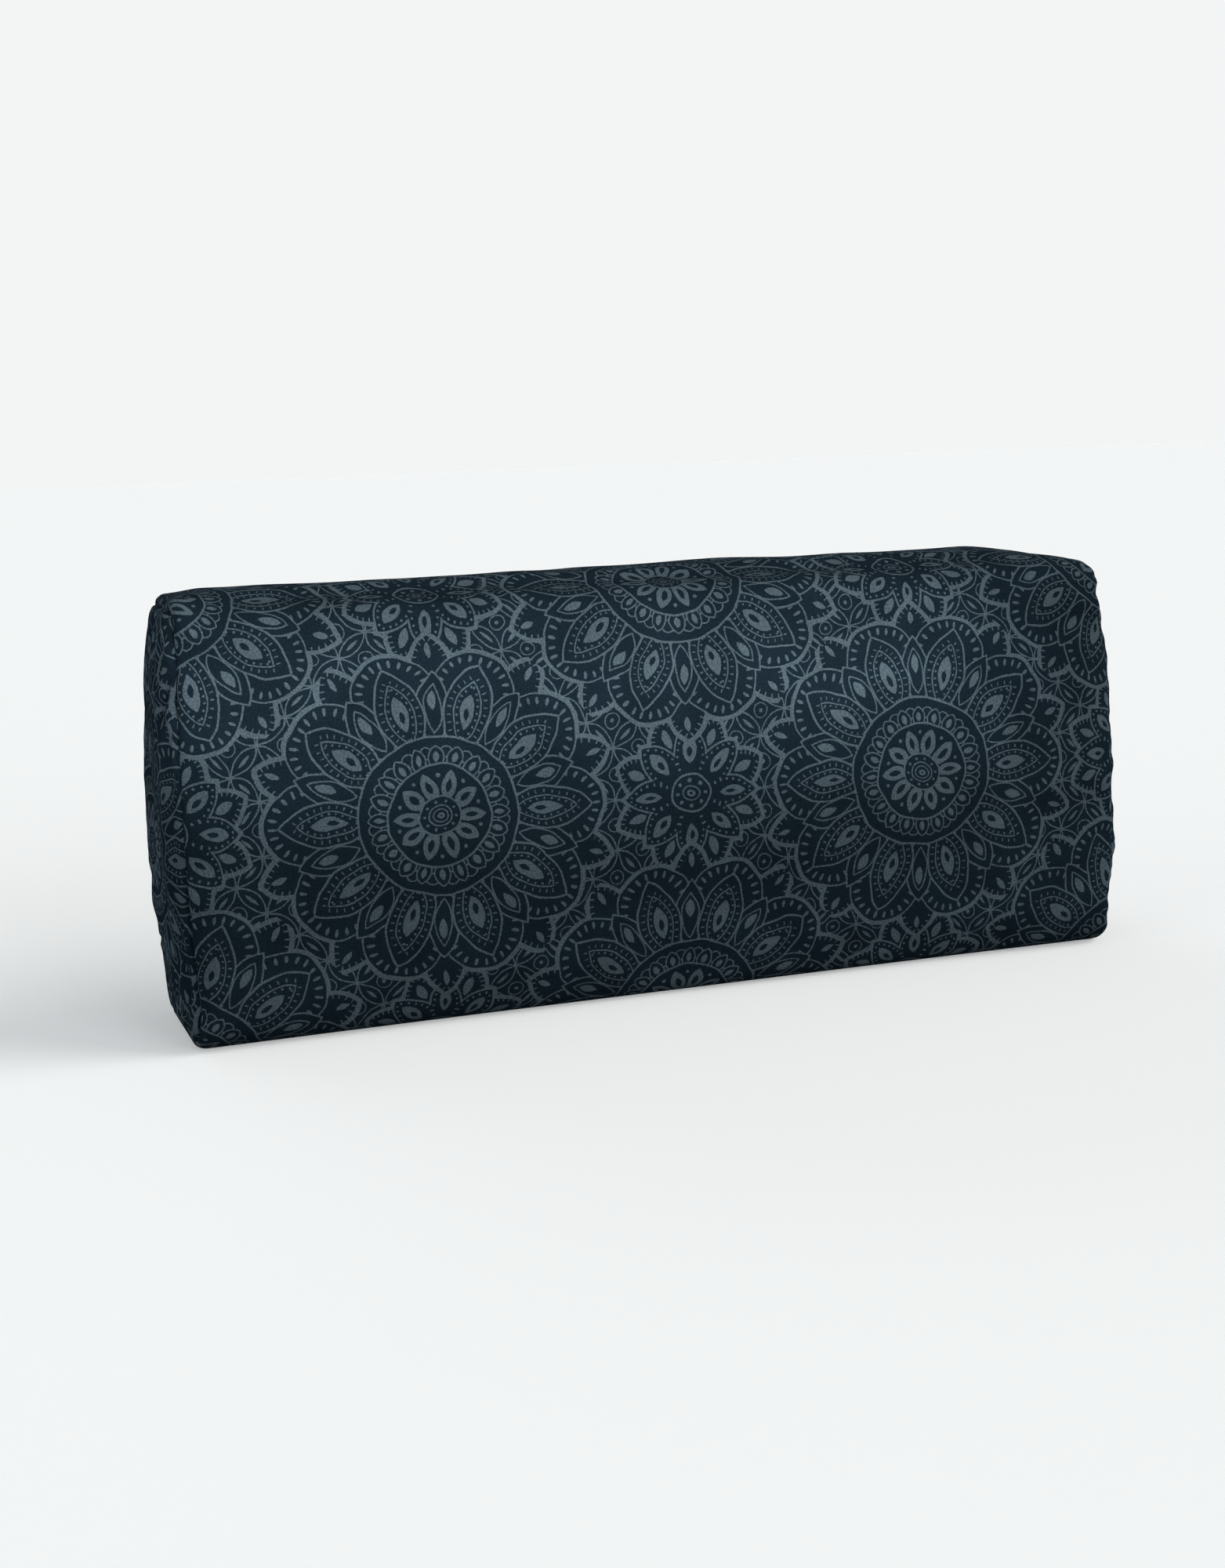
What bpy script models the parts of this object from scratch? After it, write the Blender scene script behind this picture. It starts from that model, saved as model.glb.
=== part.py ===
"""Rectangular yoga bolster in a zipped suede cover, standing on one long narrow side.

The cover is one printed wrap and two end panels, closed by a moulded-tooth zip low on the back.
Inside it are a sewn cotton liner, a layer of batting and three foam slabs.
X runs along the bolster, the front face looks along -Y, and Z = 0 is the surface it stands on.
"""

from math import cos, hypot, pi, radians, sin

import bmesh
import bpy
from mathutils import Matrix, Vector

# Overall size of the filled bolster
LENGTH = 0.660
HEIGHT = 0.280
DEPTH = 0.150

# Swell of the stuffed faces beyond their own edges, how far the long edges are drawn in at mid length,
# and how far each end seam bows out at mid height
FACE_CROWN = 0.010
TOP_CROWN = 0.005
END_CROWN = 0.010
EDGE_DRAW = 0.002
SEAM_BOW = 0.0035

# Rounding of the long edges, and of the wrap as it turns in towards each end seam
EDGE_RADIUS = 0.020
END_RADIUS = 0.020
END_TURN = radians(58)

# Layers, from the outside inwards
CLEARANCE = 0.0003
COVER_THICKNESS = 0.0012
LINER_THICKNESS = 0.0006
BATTING_THICKNESS = 0.010
SLAB_COUNT = 3

# Zip: its height on the back, its chain of teeth and its two tapes
ZIP_HEIGHT = 0.052
ZIP_SETBACK = 0.090
TOOTH_PITCH = 0.003
TOOTH_THICKNESS = 0.0024
TOOTH_REACH = 0.0009
TOOTH_ROOT = 0.0012
NECK_HALF = 0.00045
HEAD_HALF = 0.00075
BEAD_EDGE = 0.0028
TAPE_THICKNESS = 0.0005
TAPE_WIDTH = 0.011
TAPE_TAIL = 0.022
SLOT_WIDTH = 0.014
SLOT_TAIL = 0.012

# Slider, with a channel that narrows from an open mouth to the closed chain
PLATE_THICKNESS = 0.0010
SLIDER_LENGTH = 0.012
FLANGE = 0.0008
WEDGE_HALF = 0.0010
WEDGE_TIP_HALF = 0.0003
WEDGE_LENGTH = 0.0045
BOW_LENGTH = 0.0064
BOW_BAR = 0.0010
BOW_WIDTH = 0.0013
BOW_ROOM = 0.0024

# Pull tab
TAB_LENGTH = 0.027
TAB_THICKNESS = 0.0014
TAB_NECK_HALF = 0.0030
TAB_GRIP_HALF = 0.0041
TAB_BAR = 0.0012
EYE_LENGTH = 0.0038
EYE_HALF = 0.0017
GRIP_HOLE_LENGTH = 0.0075
GRIP_HOLE_HALF = 0.0016

# Stops at the two ends of the chain
STOP_LENGTH = 0.0025
STOP_WALL = 0.0007
STOP_GRIP = 0.0013

# Facets, shared by every layer so that nested layers keep their clearance
CORNER_STEPS = 5
BOTTOM_STEPS = 2
TOP_STEPS = 4
FRONT_STEPS = 6
BACK_STEPS = 4
SPANS = 6
TURN_STEPS = 3
END_RINGS = (1.0, 0.88, 0.60, 0.20)
SHARP_ANGLE = radians(40)

# Places that follow from the sizes above
BODY_HEIGHT = HEIGHT - TOP_CROWN
HALF_DEPTH = DEPTH / 2 - FACE_CROWN
SEAM_GAP_ANGLE = CLEARANCE / (END_RADIUS - COVER_THICKNESS)
RIM_ANGLE = END_TURN + SEAM_GAP_ANGLE
TURN_START = LENGTH / 2 - END_CROWN - END_RADIUS * sin(RIM_ANGLE)
CORE_Y = HALF_DEPTH - EDGE_RADIUS
CORE_TOP = BODY_HEIGHT - EDGE_RADIUS
LINER_DEPTH = COVER_THICKNESS + CLEARANCE
BATTING_DEPTH = LINER_DEPTH + LINER_THICKNESS + CLEARANCE
FOAM_DEPTH = BATTING_DEPTH + BATTING_THICKNESS + CLEARANCE

TOOTH_COUNT = round((LENGTH - 2 * ZIP_SETBACK) / TOOTH_PITCH)
CHAIN_LENGTH = TOOTH_COUNT * TOOTH_PITCH
TAPE_EDGE = BEAD_EDGE + CLEARANCE
TAPE_HALF_LENGTH = CHAIN_LENGTH / 2 + TAPE_TAIL
SLOT_HALF_LENGTH = CHAIN_LENGTH / 2 + SLOT_TAIL
ZIP_Y = HALF_DEPTH - COVER_THICKNESS - CLEARANCE - TAPE_THICKNESS / 2
CHANNEL_HALF_HEIGHT = TOOTH_THICKNESS / 2 + CLEARANCE
PLATE_TOP = CHANNEL_HALF_HEIGHT + PLATE_THICKNESS
CHANNEL_HALF = BEAD_EDGE + CLEARANCE
MOUTH_HALF = WEDGE_HALF + TOOTH_REACH + BEAD_EDGE + 2 * CLEARANCE
TAPE_SLOT_HALF = TAPE_THICKNESS / 2 + CLEARANCE
WEDGE_TIP = SLIDER_LENGTH / 2 - WEDGE_LENGTH
SLIDER_X = CHAIN_LENGTH / 2 + CLEARANCE - WEDGE_TIP
HINGE_HEIGHT = PLATE_TOP + BOW_ROOM / 2

# The liner and batting dip behind the zip, so that the slider's inner plate runs free
DIP_DEPTH = HALF_DEPTH - (ZIP_Y - PLATE_TOP) + CLEARANCE - LINER_DEPTH
DIP_HALF = TAPE_EDGE + TAPE_WIDTH + CLEARANCE
DIP_FADE = 0.007
DIP_LOW = ZIP_HEIGHT - DIP_HALF
DIP_HIGH = ZIP_HEIGHT + DIP_HALF
FLAT_TOP = DIP_HIGH + DIP_FADE


def clear_scene():
    for obj in list(bpy.data.objects):
        bpy.data.objects.remove(obj, do_unlink=True)


def material(name, colour, roughness, metallic=0.0):
    made = bpy.data.materials.new(name)
    made.use_nodes = True
    shader = made.node_tree.nodes["Principled BSDF"]
    shader.inputs["Base Color"].default_value = (*colour, 1.0)
    shader.inputs["Roughness"].default_value = roughness
    shader.inputs["Metallic"].default_value = metallic
    return made


def empty(name, location, parent=None):
    made = bpy.data.objects.new(name, None)
    made.location = location
    made.parent = parent
    bpy.context.scene.collection.objects.link(made)
    return made


def solid(name, bm, look, parent=None, location=(0, 0, 0)):
    """One named object from a closed bmesh, shaded smooth away from its sharp edges."""
    bmesh.ops.recalc_face_normals(bm, faces=bm.faces)
    mesh = bpy.data.meshes.new(name)
    bm.to_mesh(mesh)
    bm.free()
    mesh.shade_smooth()
    mesh.set_sharp_from_angle(angle=SHARP_ANGLE)
    mesh.materials.append(look)
    made = bpy.data.objects.new(name, mesh)
    made.parent = parent
    made.location = location
    bpy.context.scene.collection.objects.link(made)
    return made


def helper(name, bm, look, parent=None):
    """A shape that only cuts or joins, so it is left out of the model."""
    made = solid(name, bm, look, parent)
    made.hide_render = True
    made.display_type = "WIRE"
    return made


def combine(obj, other, operation):
    cut = obj.modifiers.new(other.name, "BOOLEAN")
    cut.operation = operation
    cut.object = other


def box(low, high):
    bm = bmesh.new()
    size = Vector(high) - Vector(low)
    middle = (Vector(high) + Vector(low)) / 2
    bmesh.ops.create_cube(bm, size=1.0, matrix=Matrix.Translation(middle) @ Matrix.Diagonal((*size, 1)))
    return bm


def prism(outline, start, reach):
    """An outline of points, swept along the vector reach from the offset start."""
    bm = bmesh.new()
    face = bm.faces.new([bm.verts.new(Vector(point) + Vector(start)) for point in outline])
    swept = bmesh.ops.extrude_face_region(bm, geom=[face])["geom"]
    bmesh.ops.translate(bm, verts=[v for v in swept if isinstance(v, bmesh.types.BMVert)], vec=reach)
    return bm


def plan(points):
    """Points given as (along the chain, across it) in the zip's own plane."""
    return [(along, 0, across) for along, across in points]


def arc(centre, radius, start, end, steps):
    angles = [start + (end - start) * k / steps for k in range(steps + 1)]
    return [(centre[0] + radius * cos(a), centre[1] + radius * sin(a)) for a in angles]


def spread(low, high, steps):
    """Evenly spaced values from low up to, but not at, high."""
    return [low + (high - low) * k / steps for k in range(steps)]


# Padded form: a section of lines round the bolster, carried along it by stations


def swell(share):
    """Crown across a face, from 0 at one edge through 1 to 0 at the other."""
    return sin(pi * min(max(share, 0.0), 1.0)) ** 1.5


def along_swell(x):
    """Crown along the bolster, full over most of its length and gone where the ends turn in."""
    share = min(abs(x) / TURN_START, 1.0)
    return (1 - share**4) ** 1.5


def section_lines():
    """Each line as its centre (y, z), its outward direction and its crown at mid length."""
    lines = []

    def side(points, direction, crowns):
        for (y, z), crown in zip(points, crowns):
            lines.append(((y, z), direction, crown))

    def corner(y, z, start):
        for k in range(CORNER_STEPS):
            angle = start + pi / 2 * k / CORNER_STEPS
            lines.append(((y, z), (cos(angle), sin(angle)), 0.0))

    face = FACE_CROWN + EDGE_DRAW
    top = TOP_CROWN + EDGE_DRAW
    ys = spread(-CORE_Y, CORE_Y, BOTTOM_STEPS)
    side([(y, EDGE_RADIUS) for y in ys], (0, -1), [0.0] * len(ys))
    corner(CORE_Y, EDGE_RADIUS, -pi / 2)
    zs = [EDGE_RADIUS, DIP_LOW - DIP_FADE, DIP_LOW, DIP_HIGH, *spread(FLAT_TOP, CORE_TOP, BACK_STEPS)]
    rise = CORE_TOP - FLAT_TOP
    side([(CORE_Y, z) for z in zs], (1, 0), [FACE_CROWN * swell((z - FLAT_TOP) / rise) for z in zs])
    corner(CORE_Y, CORE_TOP, 0)
    ys = spread(CORE_Y, -CORE_Y, TOP_STEPS)
    side([(y, CORE_TOP) for y in ys], (0, 1), [top * swell((CORE_Y - y) / (2 * CORE_Y)) for y in ys])
    corner(-CORE_Y, CORE_TOP, pi / 2)
    rise = CORE_TOP - EDGE_RADIUS
    zs = spread(CORE_TOP, EDGE_RADIUS, FRONT_STEPS)
    side([(-CORE_Y, z) for z in zs], (-1, 0), [face * swell((z - EDGE_RADIUS) / rise) for z in zs])
    corner(-CORE_Y, EDGE_RADIUS, pi)
    return lines


def dip(y, z, x):
    """How much of the zip's dip there is at a place on the back."""
    if y < CORE_Y:
        return 0.0
    inside = min((z - DIP_LOW + DIP_FADE) / DIP_FADE, (DIP_HIGH + DIP_FADE - z) / DIP_FADE)
    beside = (TURN_START - abs(x)) / (TURN_START - TAPE_HALF_LENGTH)
    return min(max(inside, 0.0), 1.0) * min(max(beside, 0.0), 1.0)


def seam_bow(z):
    """How far an end seam bows out at this height, from 0 at its corners to 1 at mid height."""
    return 1 - ((z - BODY_HEIGHT / 2) / (BODY_HEIGHT / 2 - EDGE_RADIUS)) ** 2


def section(x, depth, dipped=False):
    """One closed loop of points at x, at this depth below the cover's outer face."""
    loop = []
    full = along_swell(x)
    bowed = SEAM_BOW * min(abs(x) / TURN_START, 1.0) ** 4 * (1 if x > 0 else -1)
    for (y, z), (out_y, out_z), crown in section_lines():
        reach = EDGE_RADIUS - depth + crown * full
        if dipped and (out_y, out_z) == (1, 0):
            reach -= DIP_DEPTH * dip(y, z, x)
        drawn_y = y + EDGE_DRAW * full if y < 0 else y
        drawn_z = z - EDGE_DRAW * full if z > BODY_HEIGHT / 2 else z
        loop.append((x + bowed * seam_bow(z), drawn_y + out_y * reach, drawn_z + out_z * reach))
    return loop


def turned_section(angle, depth, end, dipped=False):
    """The loop where the wrap has turned in by this angle, on the left (-1) or right (1) end."""
    radius = END_RADIUS - depth
    x = end * (TURN_START + radius * sin(angle))
    return section(x, depth + radius * (1 - cos(angle)), dipped)


def wrap_loops(depth, dipped=False):
    """Loops of one surface of a wrap, from the left end seam to the right one."""
    turns = [END_TURN * k / TURN_STEPS for k in range(1, TURN_STEPS + 1)]
    middle = [TAPE_HALF_LENGTH * (2 * k / SPANS - 1) for k in range(SPANS + 1)]
    loops = [turned_section(a, depth, -1, dipped) for a in reversed(turns)]
    loops += [section(x, depth, dipped) for x in (-TURN_START, *middle, TURN_START)]
    loops += [turned_section(a, depth, 1, dipped) for a in turns]
    return loops


def cap_loops(depth, end):
    """Loops of one surface of an end panel, from its seam, ever rounder, to the flat at its middle."""
    rim = [Vector(point) for point in turned_section(RIM_ANGLE, depth, end)]
    flat_x = min((point.x for point in rim), key=abs)
    middle = Vector((flat_x, 0, BODY_HEIGHT / 2))
    half_width = max(point.y for point in rim)
    half_height = max(point.z for point in rim) - middle.z
    loops = []
    for share in END_RINGS:
        crown = end * END_CROWN * (1 - share**3) / (1 - END_RINGS[-1] ** 3)
        bowed = (share - END_RINGS[-1]) / (1 - END_RINGS[-1])
        ring = []
        for point in rim:
            out = Vector((0, point.y, point.z)) - Vector((0, middle.y, middle.z))
            squareness = hypot(out.y / half_width, out.z / half_height)
            place = middle + out * share * (share + (1 - share) / squareness)
            ring.append(place + Vector((crown + bowed * (point.x - flat_x), 0, 0)))
        loops.append(ring)
    return loops


def loft(loops, ring=False):
    """Faces between each loop and the next, and either back to the first loop or over both ends."""
    bm = bmesh.new()
    rows = []
    for loop in loops:
        verts = [bm.verts.new(point) for point in loop]
        rows.append([bm.edges.new((a, b)) for a, b in zip(verts, verts[1:] + verts[:1])])
    pairs = list(zip(rows, rows[1:]))
    if ring:
        pairs.append((rows[-1], rows[0]))
    else:
        for row in (rows[0], rows[-1]):
            bmesh.ops.contextual_create(bm, geom=row)
    for first, second in pairs:
        bmesh.ops.bridge_loops(bm, edges=first + second)
    bmesh.ops.triangulate(bm, faces=bm.faces, quad_method="SHORT_EDGE")
    return bm


def wrap_shell(depth, thickness, dipped=False, inner_dipped=False):
    outer = wrap_loops(depth, dipped)
    inner = wrap_loops(depth + thickness, inner_dipped)
    return loft(outer + inner[::-1], ring=True)


def cap_shell(depth, thickness, end):
    outer = cap_loops(depth, end)
    inner = cap_loops(depth + thickness, end)
    return loft(inner[::-1] + outer)


ENDS = (("left", -1), ("right", 1))


def cover(suede):
    """The printed wrap with its zip slot, and the two end panels sewn into it."""
    wrap = solid("cover_wrap", wrap_shell(0, COVER_THICKNESS), suede)
    half = SLOT_WIDTH / 2
    through = Vector((0, 2 * COVER_THICKNESS, 0))
    low = Vector((-SLOT_HALF_LENGTH, HALF_DEPTH, ZIP_HEIGHT - half)) - through
    high = Vector((SLOT_HALF_LENGTH, HALF_DEPTH, ZIP_HEIGHT + half)) + through
    combine(wrap, helper("zip_slot_cutter", box(low, high), suede), "DIFFERENCE")
    for word, end in ENDS:
        solid(f"end_panel_{word}", cap_shell(0, COVER_THICKNESS, end), suede)


def liner(cotton):
    """The sewn inner bag, which keeps the filling together when the cover is off."""
    shell = wrap_shell(LINER_DEPTH, LINER_THICKNESS, dipped=True, inner_dipped=True)
    solid("liner_wrap", shell, cotton)
    for word, end in ENDS:
        solid(f"liner_end_{word}", cap_shell(LINER_DEPTH, LINER_THICKNESS, end), cotton)


def batting(wadding):
    """Soft wadding rolled round the foam, with a pad over each end."""
    shell = wrap_shell(BATTING_DEPTH, BATTING_THICKNESS, dipped=True)
    solid("batting_wrap", shell, wadding)
    for word, end in ENDS:
        solid(f"batting_end_{word}", cap_shell(BATTING_DEPTH, BATTING_THICKNESS, end), wadding)


def foam_slabs(foam):
    """The core block, cut along its length into upright slabs."""
    left = cap_loops(FOAM_DEPTH, -1)
    right = cap_loops(FOAM_DEPTH, 1)
    loops = left[::-1] + wrap_loops(FOAM_DEPTH) + right
    half = HALF_DEPTH - FOAM_DEPTH
    cuts = [-half + 2 * half * k / SLAB_COUNT for k in range(SLAB_COUNT + 1)]
    for k in range(SLAB_COUNT):
        bm = loft(loops)
        if k > 0:
            slice_off(bm, cuts[k] + CLEARANCE / 2, -1)
        if k < SLAB_COUNT - 1:
            slice_off(bm, cuts[k + 1] - CLEARANCE / 2, 1)
        solid(f"foam_slab_{k + 1}", bm, foam)


def slice_off(bm, y, side):
    """Takes away what lies past an upright plane, on its -Y or +Y side, and closes the cut."""
    geom = bm.verts[:] + bm.edges[:] + bm.faces[:]
    cut = bmesh.ops.bisect_plane(bm, geom=geom, plane_co=(0, y, 0), plane_no=(0, side, 0), clear_outer=True)
    edges = [part for part in cut["geom_cut"] if isinstance(part, bmesh.types.BMEdge)]
    bmesh.ops.contextual_create(bm, geom=edges)


# Zip, built along X about its own middle, with +Y outwards from the back


def tooth_row_outline(side):
    """One row of teeth on its bead: side 1 is the upper row, and -1 the lower, half a pitch on."""
    start = -CHAIN_LENGTH / 2
    points = [(start, BEAD_EDGE)]
    for k in range(TOOTH_COUNT):
        middle = start + TOOTH_PITCH * (k + (0.25 if side > 0 else 0.75))
        points += [(middle - NECK_HALF, TOOTH_ROOT), (middle - HEAD_HALF, -TOOTH_REACH)]
        points += [(middle + HEAD_HALF, -TOOTH_REACH), (middle + NECK_HALF, TOOTH_ROOT)]
    points.append((start + CHAIN_LENGTH, BEAD_EDGE))
    return plan([(along, side * across) for along, across in points])


def zip_chain(teeth, tape, metal, line):
    """Two tapes, the two rows of teeth that mesh between them, and the stops at each end."""
    for word, side in (("upper", 1), ("lower", -1)):
        sweep = Vector((0, TOOTH_THICKNESS, 0))
        row = prism(tooth_row_outline(side), -sweep / 2, sweep)
        solid(f"zip_teeth_{word}", row, teeth, line)
        edges = sorted((side * TAPE_EDGE, side * (TAPE_EDGE + TAPE_WIDTH)))
        low = (-TAPE_HALF_LENGTH, -TAPE_THICKNESS / 2, edges[0])
        high = (TAPE_HALF_LENGTH, TAPE_THICKNESS / 2, edges[1])
        solid(f"zip_tape_{word}", box(low, high), tape, line)
        front = SLIDER_X + SLIDER_LENGTH / 2 + CLEARANCE
        solid(f"zip_top_stop_{word}", top_stop(side, front), metal, line)
    solid("zip_bottom_stop", bottom_stop(), metal, line)


def grip_profile(side):
    """The open end of a stop, which grips the tape above and below, as (out of the back, across)."""
    outer = TAPE_EDGE + STOP_GRIP
    points = [
        (TAPE_SLOT_HALF + STOP_WALL, outer),
        (TAPE_SLOT_HALF, outer),
        (TAPE_SLOT_HALF, BEAD_EDGE),
        (-TAPE_SLOT_HALF, BEAD_EDGE),
        (-TAPE_SLOT_HALF, outer),
        (-TAPE_SLOT_HALF - STOP_WALL, outer),
    ]
    return [(out, side * across) for out, across in points]


def top_stop(side, start):
    """A clip folded over one tape edge, where it bars the slider's way."""
    back = BEAD_EDGE - STOP_WALL
    wall = TAPE_SLOT_HALF + STOP_WALL
    points = grip_profile(side) + [(-wall, side * back), (wall, side * back)]
    return prism([(0, out, across) for out, across in points], (start, 0, 0), (STOP_LENGTH, 0, 0))


def bottom_stop():
    """One clip that holds both tapes together past the last teeth."""
    points = grip_profile(1) + grip_profile(-1)[::-1]
    start = -CHAIN_LENGTH / 2 - CLEARANCE - STOP_LENGTH
    return prism([(0, out, across) for out, across in points], (start, 0, 0), (STOP_LENGTH, 0, 0))


def slider(metal, park):
    """The slider: two plates joined by a wedge, with flanges that steer both rows of teeth."""
    half = SLIDER_LENGTH / 2
    rear_half = CHANNEL_HALF + FLANGE
    front_half = MOUTH_HALF + FLANGE
    corner = FLANGE
    outline = arc((half - corner, -front_half + corner), corner, -pi / 2, 0, 2)
    outline += arc((half - corner, front_half - corner), corner, 0, pi / 2, 2)
    outline += arc((-half + corner, rear_half - corner), corner, pi / 2, pi, 2)
    outline += arc((-half + corner, -rear_half + corner), corner, pi, 3 * pi / 2, 2)
    sweep = Vector((0, 2 * PLATE_TOP, 0))
    body = solid("zip_slider", prism(plan(outline), -sweep / 2, sweep), metal, park)
    combine(body, helper("slider_channel", channel(), metal, park), "DIFFERENCE")
    for side in (1, -1):
        edges = sorted((side * (CHANNEL_HALF - CLEARANCE), side * (front_half + FLANGE)))
        low = (-SLIDER_LENGTH, -TAPE_SLOT_HALF, edges[0])
        high = (SLIDER_LENGTH, TAPE_SLOT_HALF, edges[1])
        combine(body, helper(f"slider_tape_slot_{side}", box(low, high), metal, park), "DIFFERENCE")
    combine(body, helper("slider_bow", bow(), metal, park), "UNION")


def channel():
    """The room inside the slider, forked at the front round the wedge."""
    past = SLIDER_LENGTH
    tip = WEDGE_TIP
    front = SLIDER_LENGTH / 2
    slope = (WEDGE_HALF - WEDGE_TIP_HALF) / (front - tip)
    flare = WEDGE_HALF + slope * (past - front)
    upper = [(-past, CHANNEL_HALF), (-front / 2, CHANNEL_HALF), (front, MOUTH_HALF), (past, MOUTH_HALF)]
    fork = [(past, flare), (tip, WEDGE_TIP_HALF), (tip, -WEDGE_TIP_HALF), (past, -flare)]
    lower = [(along, -across) for along, across in reversed(upper)]
    sweep = Vector((0, 2 * CHANNEL_HALF_HEIGHT, 0))
    return prism(plan(upper + fork + lower), -sweep / 2, sweep)


def bow():
    """The arch on the slider's outer plate that carries the pull tab."""
    foot = PLATE_TOP - PLATE_THICKNESS / 2
    under = PLATE_TOP + BOW_ROOM
    half = BOW_LENGTH / 2
    outer = [(half, foot), (half, under), (half - BOW_BAR, under + BOW_BAR)]
    inner = [(half - BOW_BAR, foot), (half - BOW_BAR, under - BOW_BAR / 2), (half - 1.5 * BOW_BAR, under)]
    right = outer + [(-along, up) for along, up in reversed(outer)]
    left = [(-along, up) for along, up in inner] + list(reversed(inner))
    points = [(along, up, 0) for along, up in right + left]
    return prism(points, (0, 0, -BOW_WIDTH / 2), (0, 0, BOW_WIDTH))


def pull_tab(metal, hinge):
    """The tab that is pinched to run the zip. It turns on the bar at its end, inside the bow."""
    start = TAB_BAR / 2
    grip = TAB_GRIP_HALF
    grip_x = -TAB_LENGTH + start + grip
    outline = [(start, -TAB_NECK_HALF), (start, TAB_NECK_HALF)]
    outline += arc((grip_x, 0), grip, pi / 2, 3 * pi / 2, 8)
    sweep = Vector((0, TAB_THICKNESS, 0))
    tab = solid("zip_pull_tab", prism(plan(outline), -sweep / 2, sweep), metal, hinge)
    low = (-start - EYE_LENGTH, -TAB_THICKNESS, -EYE_HALF)
    high = (-start, TAB_THICKNESS, EYE_HALF)
    combine(tab, helper("tab_eye_cutter", box(low, high), metal, hinge), "DIFFERENCE")
    run = GRIP_HOLE_LENGTH - 2 * GRIP_HOLE_HALF
    hole = arc((grip_x, 0), GRIP_HOLE_HALF, pi / 2, 3 * pi / 2, 5)
    hole += arc((grip_x + run, 0), GRIP_HOLE_HALF, -pi / 2, pi / 2, 5)
    cutter = prism(plan(hole), -sweep, 2 * sweep)
    combine(tab, helper("tab_hole_cutter", cutter, metal, hinge), "DIFFERENCE")


def build():
    clear_scene()
    suede = material("printed_suede", (0.030, 0.044, 0.060), 0.85)
    cotton = material("cotton_liner", (0.62, 0.60, 0.55), 0.9)
    wadding = material("cotton_batting", (0.80, 0.79, 0.75), 0.95)
    foam = material("firm_foam", (0.72, 0.70, 0.60), 0.9)
    teeth = material("moulded_teeth", (0.012, 0.017, 0.024), 0.4)
    tape = material("woven_tape", (0.016, 0.022, 0.030), 0.85)
    metal = material("enamelled_zinc", (0.020, 0.024, 0.030), 0.35, 0.6)
    cover(suede)
    liner(cotton)
    batting(wadding)
    foam_slabs(foam)
    line = empty("zip_line", (0, ZIP_Y, ZIP_HEIGHT))
    zip_chain(teeth, tape, metal, line)
    park = empty("slider_park", (SLIDER_X, 0, 0), line)
    slider(metal, park)
    hinge = empty("tab_hinge", (0, HINGE_HEIGHT, 0), park)
    pull_tab(metal, hinge)


build()
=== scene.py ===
# %% [markdown]
# # A yoga bolster in a printed suede cover
# The solids of the bolster come from model.glb: a sleeve, two end panels, a zip low on the back and
# the filling. Here each of them gets the look of the real thing.

# %% Load the imported solids
from math import cos, exp, hypot, pi, radians, sin
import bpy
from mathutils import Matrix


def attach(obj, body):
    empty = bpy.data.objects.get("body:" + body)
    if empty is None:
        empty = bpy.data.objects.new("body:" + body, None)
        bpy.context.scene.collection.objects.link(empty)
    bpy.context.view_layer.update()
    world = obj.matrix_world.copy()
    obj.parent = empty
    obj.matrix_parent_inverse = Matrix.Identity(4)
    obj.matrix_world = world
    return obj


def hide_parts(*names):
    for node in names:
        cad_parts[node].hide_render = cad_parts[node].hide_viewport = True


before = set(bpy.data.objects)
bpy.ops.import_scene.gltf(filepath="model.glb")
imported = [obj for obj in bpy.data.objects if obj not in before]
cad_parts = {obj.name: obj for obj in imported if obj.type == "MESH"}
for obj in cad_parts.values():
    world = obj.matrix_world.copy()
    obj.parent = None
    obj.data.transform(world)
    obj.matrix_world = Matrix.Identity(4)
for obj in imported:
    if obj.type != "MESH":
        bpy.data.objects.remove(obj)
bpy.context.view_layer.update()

from types import SimpleNamespace

import bmesh
import bpy
import numpy as np
from mathutils import Euler, Matrix, Vector, noise
from mathutils.bvhtree import BVHTree

# %% [markdown]
# ## Helpers for nodes, colours and objects
# A material is a small wiring diagram. One function adds a node, sets it and plugs in its inputs, so
# that a pattern reads as a list of steps. Colours are written as the hex values that a screen shows,
# and Blender wants linear light, so a second function turns one into the other. The others take over
# what every piece needs: a material to start from, inputs filled by name, and a mesh that is set down
# at the origin.

# %% Node, colour and object helpers
MATH, VECTOR, MIX = "ShaderNodeMath", "ShaderNodeVectorMath", "ShaderNodeMix"


def add(tree, kind, *values, **settings):
    """Adds one node with its settings, fills its inputs in order and gives back its first output."""
    made = tree.nodes.new(kind)
    for name, setting in settings.items():
        setattr(made, name, setting)
    for socket, value in zip([s for s in made.inputs if s.enabled], values):
        if isinstance(value, bpy.types.NodeSocket):
            tree.links.new(value, socket)
        elif value is not None:
            socket.default_value = value
    return next((s for s in made.outputs if s.enabled), None)


def linear(hex_colour):
    """An sRGB hex colour as linear red, green, blue and an alpha of 1."""
    parts = [int(hex_colour[k : k + 2], 16) / 255 for k in (1, 3, 5)]
    return (*[p / 12.92 if p <= 0.04045 else ((p + 0.055) / 1.055) ** 2.4 for p in parts], 1.0)


def fill(node, values):
    """Sets inputs of a node by their names, or plugs patterns into them."""
    for name, value in values.items():
        if isinstance(value, bpy.types.NodeSocket):
            node.id_data.links.new(value, node.inputs[name])
        else:
            node.inputs[name].default_value = value


def new_material(name):
    """A material, its wiring and the node in it that stands for the surface."""
    made = bpy.data.materials.new(name)
    made.use_nodes = True
    return made, made.node_tree, made.node_tree.nodes["Principled BSDF"]


def as_mesh(name, bm):
    """Writes a form that was being edited to a mesh."""
    mesh = bpy.data.meshes.new(name)
    bm.to_mesh(mesh)
    bm.free()
    return mesh


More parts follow.
